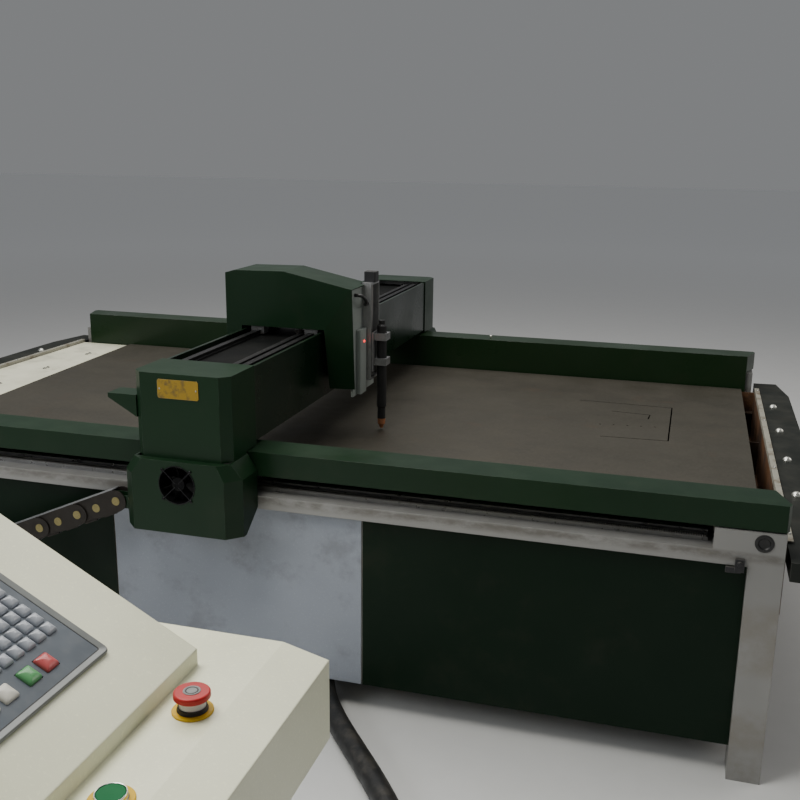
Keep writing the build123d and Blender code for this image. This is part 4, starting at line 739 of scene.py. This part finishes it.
guide_screws = Piece()
for index in range(GUIDE_SCREWS):
    x = rail_low.x + GUIDE_SCREW_FIRST + index * SCREW_PITCH
    for side in (-1, 1):
        place = (x, side * GUIDE_Y, GUIDE_SCREW_Z)
        socket_screw(guide_screws, place, Z_AXIS, *SCREW_SIZE)
guide_screws.done("guide_screws", "table", "dark_steel")

cross_screws = Piece()
for index in range(CROSS_SCREWS):
    y = cross_low.y + CROSS_SCREW_FIRST + index * SCREW_PITCH
    for side in (-1, 1):
        place = (GANTRY_X + side * CROSS_GUIDE_OFFSET, y, cross_high.z - CROSS_SCREW_DEPTH)
        socket_screw(cross_screws, place, Z_AXIS, *SCREW_SIZE)
cross_screws.done("cross_guide_screws", "gantry", "dark_steel")


# Bolts on the deck, screws on the end strips and the knob on the far cover

DECK_BOLT_X = -1.466
DECK_BOLT_FIRST = 0.636
DECK_BOLT_PITCH = 0.338
DECK_BOLT_PAIRS = 5
DECK_BOLT_SPREAD = 0.013
DECK_BOLT_SIZE = (6 * MM, 6 * MM)

deck_bolts = Piece()
for index in range(DECK_BOLT_PAIRS):
    for shift in (-DECK_BOLT_SPREAD, DECK_BOLT_SPREAD):
        place = (DECK_BOLT_X, DECK_BOLT_FIRST - index * DECK_BOLT_PITCH + shift, deck_top)
        hex_bolt(deck_bolts, place, Z_AXIS, *DECK_BOLT_SIZE)
deck_bolts.done("deck_bolts", "table", "screw")

STRIP_SCREW_X = 1.6685
STRIP_SCREW_Z = 0.660
STRIP_SCREW_YS = (-0.844, -0.244, 0.356, 0.856)
STRIP_SCREW_SIZE = (5 * MM, 3 * MM)

strip_screws = Piece()
for side in (-1, 1):
    for y in STRIP_SCREW_YS:
        dome_screw(strip_screws, (side * STRIP_SCREW_X, y, STRIP_SCREW_Z), Z_AXIS, *STRIP_SCREW_SIZE)
strip_screws.done("strip_screws", "table", "screw")

COVER_KNOB = (0.484, 0.948, 0.796)
KNOB_PROFILE = [
    (6 * MM, 0), (6 * MM, 2 * MM), (4 * MM, 3 * MM), (4 * MM, 6 * MM),
    (7.5 * MM, 8 * MM), (7.5 * MM, 11 * MM), (5 * MM, 13 * MM), (0.2 * MM, 13.5 * MM),
]

knob = Piece()
knob.turned(KNOB_PROFILE, Matrix.Translation(COVER_KNOB))
knob.done("cover_knob", "table", "balls")


# Corner plugs, and the clip beside the near right one

CORNER_HOLE = (1.592, 1.024, 0.692)
PLUG_PROFILE = [
    (20.5 * MM, -3 * MM), (20.5 * MM, -1 * MM), (24 * MM, 0), (23.5 * MM, 2 * MM),
    (20 * MM, 3 * MM), (16 * MM, 2.5 * MM), (13 * MM, -1 * MM), (0.2 * MM, -1.5 * MM),
]

plugs = Piece()
for side_x in (-1, 1):
    for side_y in (-1, 1):
        place = (side_x * CORNER_HOLE[0], side_y * CORNER_HOLE[1], CORNER_HOLE[2])
        plugs.turned(PLUG_PROFILE, facing(place, (0, side_y, 0)), 32)
plugs.done("corner_plugs", "table", "black_plastic")

CLIP = (1.537, -1.024, 0.628)
CLIP_SCREW = (CLIP[0], CLIP[1] - 0.011, CLIP[2] + 0.006)
CLIP_SCREW_PROFILE = [(7 * MM, 0), (7 * MM, 5 * MM), (5.5 * MM, 6.5 * MM), (0.2 * MM, 6.5 * MM)]

clip = Piece()
clip.block((-0.012, -0.011, -0.018), (0.012, 0.0, 0.018), Matrix.Translation(CLIP))
clip.block((-0.034, -0.009, -0.022), (0.004, 0.0, -0.006), Matrix.Translation(CLIP))
clip.turned(CLIP_SCREW_PROFILE, facing(CLIP_SCREW, TO_NEAR_SIDE), 20)
clip.done("panel_clip", "table", "motor", bevel=1 * MM)


# Screws of the fan guard and rivets of the plaque

GUARD_SCREW_REACH = 0.0435
GUARD_SCREW_SIZE = (4.5 * MM, 2.5 * MM)
RIVET_INSET = 7 * MM
RIVET_SIZE = (2.6 * MM, 1.4 * MM)

guard_screws = Piece()
guard_x = (guard_low.x + guard_high.x) / 2
guard_z = (guard_low.z + guard_high.z) / 2
for side_x in (-1, 1):
    for side_z in (-1, 1):
        place = (guard_x + side_x * GUARD_SCREW_REACH, guard_low.y, guard_z + side_z * GUARD_SCREW_REACH)
        dome_screw(guard_screws, place, TO_NEAR_SIDE, *GUARD_SCREW_SIZE)
guard_screws.done("guard_screws", "gantry", "guard_wire")

plaque_rivets = Piece()
plaque_z = (plaque_low.z + plaque_high.z) / 2
for x in (plaque_low.x + RIVET_INSET, plaque_high.x - RIVET_INSET):
    dome_screw(plaque_rivets, (x, plaque_low.y, plaque_z), TO_NEAR_SIDE, *RIVET_SIZE)
plaque_rivets.done("plaque_rivets", "gantry", "screw")


# Lamp on the height control box

LAMP_Y = -0.2972
LAMP_Z = 0.997
LAMP_PROFILE = [
    (5 * MM, 0), (5 * MM, 1.5 * MM), (3.6 * MM, 2 * MM), (3 * MM, 4 * MM), (0.1 * MM, 5 * MM),
]

lamp = Piece()
lamp.turned(LAMP_PROFILE, facing((height_box_face, LAMP_Y, LAMP_Z), X_AXIS), 20)
lamp.done("height_lamp", "carriage", "lamp")


# Console: the keypad's trim and keys, drawn on the desk's slope

DESK_ANGLE = math.radians(28.3)
DESK_ORIGIN = Vector((0.845, -2.620, 1.100))
DESK = Matrix((
    (0, -math.cos(DESK_ANGLE), math.sin(DESK_ANGLE), DESK_ORIGIN.x),
    (1, 0, 0, DESK_ORIGIN.y),
    (0, math.sin(DESK_ANGLE), math.cos(DESK_ANGLE), DESK_ORIGIN.z),
    (0, 0, 0, 1),
))
PANEL_RIGHT = -0.088
PANEL_BOTTOM = 0.068
PANEL_WIDTH = 0.420
PANEL_HEIGHT = 0.190
PANEL_FACE = 3 * MM
CORNER_POINTS = 6


def rounded_outline(low, high, radius, height):
    """A rounded rectangle on the desk."""
    left, bottom = low[0] + radius, low[1] + radius
    right, top = high[0] - radius, high[1] - radius
    points = []
    for corner, centre in enumerate(((right, top), (left, top), (left, bottom), (right, bottom))):
        for step in range(CORNER_POINTS):
            angle = math.pi / 2 * (corner + step / (CORNER_POINTS - 1))
            x = centre[0] + radius * math.cos(angle)
            y = centre[1] + radius * math.sin(angle)
            points.append(DESK @ Vector((x, y, height)))
    return points


def panel_ring(inset, height, radius):
    """The keypad panel's outline, moved in by an inset."""
    low = (PANEL_RIGHT - PANEL_WIDTH + inset, PANEL_BOTTOM + inset)
    high = (PANEL_RIGHT - inset, PANEL_BOTTOM + PANEL_HEIGHT - inset)
    return rounded_outline(low, high, radius, height)


trim = Piece()
trim.rings([
    panel_ring(0.0, 0.2 * MM, 6 * MM),
    panel_ring(-1 * MM, 0.2 * MM, 7 * MM),
    panel_ring(-1 * MM, 3.6 * MM, 7 * MM),
    panel_ring(0.6 * MM, 5.2 * MM, 5.6 * MM),
    panel_ring(7 * MM, 3.2 * MM, 3 * MM),
    panel_ring(7 * MM, 2.9 * MM, 3 * MM),
], loop=True)
trim.done("keypad_trim", "table", "trim", smooth=25)

line = Piece()
line.rings([
    panel_ring(7 * MM, 2.95 * MM, 3 * MM),
    panel_ring(7 * MM, 3.2 * MM, 3 * MM),
    panel_ring(8.3 * MM, 3.2 * MM, 2 * MM),
    panel_ring(8.3 * MM, 2.95 * MM, 2 * MM),
], loop=True)
line.done("keypad_line", "table", "trim_line", smooth=25)

KEY_COLUMNS = 12
KEY_ROWS = 5
KEY_PITCH = (0.018, 0.017)
KEY_FIRST = (-0.1155, 0.130)
KEY_SIZE = 14.5 * MM
WIDE_KEYS = 4
WIDE_SIZE = 20 * MM
WIDE_FIRST = -0.220
WIDE_PITCH = 0.028
COMMAND_Y = 0.101
RED_KEY_X = -0.156
GREEN_KEY_X = -0.184
MOVING_KEY_FOOT = 2.5 * MM
KEY_TOP = 8.3 * MM
PILLOW = ((1.0, 0.0), (0.97, 0.34), (0.88, 0.56), (0.68, 0.78), (0.42, 0.93), (0.16, 1.0))


def key_cap(piece, centre, size, low, high):
    """A pillowed key: tapered sides, a rounded shoulder and a slightly raised middle."""
    rings = []
    for share, height in PILLOW:
        half = size / 2 * share
        low_corner = (centre[0] - half, centre[1] - half)
        high_corner = (centre[0] + half, centre[1] + half)
        rings.append(rounded_outline(low_corner, high_corner, 0.22 * half, low + (high - low) * height))
    piece.rings(rings)


keys = Piece()
for column in range(KEY_COLUMNS):
    for row in range(KEY_ROWS):
        centre = (KEY_FIRST[0] - column * KEY_PITCH[0], KEY_FIRST[1] + row * KEY_PITCH[1])
        key_cap(keys, centre, KEY_SIZE, PANEL_FACE, KEY_TOP)
silver_keys = keys.done("silver_keys", "table", "key", smooth=60)
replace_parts(silver_keys, "keypad_keys")

wide_keys = Piece()
for column in range(WIDE_KEYS):
    key_cap(wide_keys, (WIDE_FIRST - column * WIDE_PITCH, COMMAND_Y), WIDE_SIZE, PANEL_FACE, KEY_TOP)
wide_keys.done("wide_keys", "table", "key_white", smooth=60)

for name, body, finish, slot, x in (
    ("red_key", "red_button_key", "red_soft", "red_plastic", RED_KEY_X),
    ("green_key", "green_button_key", "green_soft", "green_plastic", GREEN_KEY_X),
):
    cap = Piece()
    key_cap(cap, (x, COMMAND_Y), WIDE_SIZE, MOVING_KEY_FOOT, KEY_TOP)
    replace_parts(cap.done(name + "_cap", body, finish, smooth=60), name)


# Console: emergency stop and start button

SHELF = 1.080
LEGEND_HOLE = 9 * MM
LEGEND_RADIUS = 22.5 * MM
LEGEND_TOP = SHELF + 2.4 * MM
LEGEND_POCKET = SHELF + 0.6 * MM
LEGEND_BEVEL = 0.6 * MM
BEZEL_WALL = 1.2 * MM

estop_place = ((estop_low.x + estop_high.x) / 2, (estop_low.y + estop_high.y) / 2)
start_place = ((start_low.x + start_high.x) / 2, (start_low.y + start_high.y) / 2)


def button_base(name, centre, inner, top, finish, collar):
    """The yellow legend plate, and the bezel with its foot and rounded rim."""
    place = Matrix.Translation((*centre, 0))
    legend = Piece()
    legend.hollow([
        (LEGEND_HOLE, SHELF), (LEGEND_RADIUS, SHELF), (LEGEND_RADIUS, LEGEND_TOP - LEGEND_BEVEL),
        (LEGEND_RADIUS - LEGEND_BEVEL, LEGEND_TOP), (inner, LEGEND_TOP),
        (inner, LEGEND_POCKET), (LEGEND_HOLE, LEGEND_POCKET),
    ], place)
    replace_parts(legend.done(name + "_legend_plate", "table", "yellow_plastic"), collar)
    outer = inner + BEZEL_WALL
    bezel = Piece()
    bezel.hollow([
        (inner, LEGEND_TOP), (outer + 1 * MM, LEGEND_TOP), (outer + 1 * MM, LEGEND_TOP + 1 * MM),
        (outer, LEGEND_TOP + 1.8 * MM), (outer, top - 0.5 * MM), (outer - 0.3 * MM, top - 0.15 * MM),
        (outer - 0.6 * MM, top), (inner, top - 0.3 * MM),
    ], place)
    bezel.done(name + "_bezel", "table", finish)


button_base("estop", estop_place, 14.8 * MM, estop_bezel_top,
            "black_plastic", "estop_collar")
button_base("start", start_place, 14.3 * MM, start_bezel_top,
            "chrome", "start_collar")

DISC_PROFILE = [
    (9.6 * MM, -0.4 * MM), (9.6 * MM, 0.3 * MM), (9.0 * MM, 0.8 * MM), (7.6 * MM, 0.6 * MM),
    (7.0 * MM, -0.2 * MM), (5.9 * MM, -0.2 * MM), (5.4 * MM, 0.5 * MM), (4.6 * MM, 0.7 * MM),
    (0.1 * MM, 0.7 * MM),
]
RECESS_PROFILE = [
    (5.4 * MM, -0.1 * MM), (7.5 * MM, -0.1 * MM), (7.5 * MM, 0.2 * MM), (5.4 * MM, 0.2 * MM),
]
estop_top = Matrix.Translation((*estop_place, estop_high.z))

disc = Piece()
disc.turned(DISC_PROFILE, estop_top, 40)
disc.done("estop_disc", "estop", "grey_plastic")

recess = Piece()
recess.hollow(RECESS_PROFILE, estop_top, 40)
recess.done("estop_disc_recess", "estop", "black_plastic")


# Stage: floor, light and camera

FLOOR_REACH = 40
FLOOR_FADE = (4, 14)
FLOOR_DARK = (0.655, 0.655, 0.645)
FLOOR_LIGHT = (0.67, 0.67, 0.66)
FLOOR_FAR = (0.95, 0.955, 0.96)


def floor():
    """A pale floor that grows lighter away from the machine, so that its end hardly shows."""
    mesh = bpy.data.meshes.new("floor")
    corners = ((-1, -1), (1, -1), (1, 1), (-1, 1))
    mesh.from_pydata([(x * FLOOR_REACH, y * FLOOR_REACH, 0) for x, y in corners], [], [(0, 1, 2, 3)])
    surface = Surface("floor_pale")
    tone = surface.span(surface.noise(14, 3), 0.3, 0.7)
    distance = surface.node("VectorMath")
    distance.operation = "LENGTH"
    surface.feed(distance.inputs[0], surface.place)
    fade = surface.span(distance.outputs["Value"], *FLOOR_FADE)
    surface.colour(surface.mix(fade, surface.mix(tone, FLOOR_DARK, FLOOR_LIGHT), FLOOR_FAR))
    surface.roughness(surface.span(surface.noise(3, 5), 0.3, 0.7, 0.6, 0.75))
    mesh.materials.append(surface.material)
    plane = bpy.data.objects.new("floor", mesh)
    bpy.context.scene.collection.objects.link(plane)


def area_light(name, place, aim, size, energy, colour):
    light = bpy.data.lights.new(name, "AREA")
    light.shape = "RECTANGLE"
    light.size, light.size_y = size
    light.energy = energy
    light.color = colour
    holder = bpy.data.objects.new(name, light)
    holder.location = place
    holder.rotation_mode = "QUATERNION"
    holder.rotation_quaternion = (Vector(aim) - Vector(place)).to_track_quat("-Z", "Y")
    bpy.context.scene.collection.objects.link(holder)


floor()
area_light("overhead", (-0.6, 0.4, 4.4), (0, 0, 0.6), (4.6, 3.6), 190, (1.0, 0.98, 0.95))
area_light("front_left", (-3.6, -4.4, 3.2), (0.2, -1.0, 0.7), (2.4, 1.8), 75, (0.94, 0.97, 1.0))
area_light("console_key", (-0.2, -2.4, 3.3), (0.8, -2.8, 1.1), (1.2, 1.2), 56, (1.0, 0.99, 0.92))
area_light("right_rim", (4.8, 1.5, 3.2), (0.3, 0, 0.7), (2.4, 2.4), 50, (1.0, 0.95, 0.88))

SKY_COLOUR = (0.78, 0.80, 0.82, 1)
SKY_STRENGTH = 0.27

world = bpy.data.worlds.new("studio")
world.use_nodes = True
background = world.node_tree.nodes["Background"]
background.inputs["Color"].default_value = SKY_COLOUR
background.inputs["Strength"].default_value = SKY_STRENGTH
bpy.context.scene.world = world

CAMERA_PLACE = (1.36088, -3.56114, 1.67)
CAMERA_YAW = 0.283572
CAMERA_PITCH = 0.251944
CAMERA_ROLL = 0.011117
FOCAL_PIXELS = 998.455
IMAGE_PIXELS = 800
SENSOR = 36.0
NEAR_CLIP = 0.05


def camera():
    """The photo's camera: its place, turn and focal length."""
    data = bpy.data.cameras.new("photo_camera")
    data.sensor_width = SENSOR
    data.lens = SENSOR * FOCAL_PIXELS / IMAGE_PIXELS
    data.clip_start = NEAR_CLIP
    level = math.cos(CAMERA_PITCH)
    forward = Vector((
        -math.sin(CAMERA_YAW) * level, math.cos(CAMERA_YAW) * level, -math.sin(CAMERA_PITCH),
    ))
    right = Vector((math.cos(CAMERA_YAW), math.sin(CAMERA_YAW), 0))
    up = right.cross(forward)
    tilted_right = right * math.cos(CAMERA_ROLL) + up * math.sin(CAMERA_ROLL)
    tilted_up = up * math.cos(CAMERA_ROLL) - right * math.sin(CAMERA_ROLL)
    turn = Matrix((tilted_right, tilted_up, -forward)).transposed()
    eye = bpy.data.objects.new("photo_camera", data)
    eye.matrix_world = Matrix.Translation(CAMERA_PLACE) @ turn.to_4x4()
    bpy.context.scene.collection.objects.link(eye)
    bpy.context.scene.camera = eye


camera()
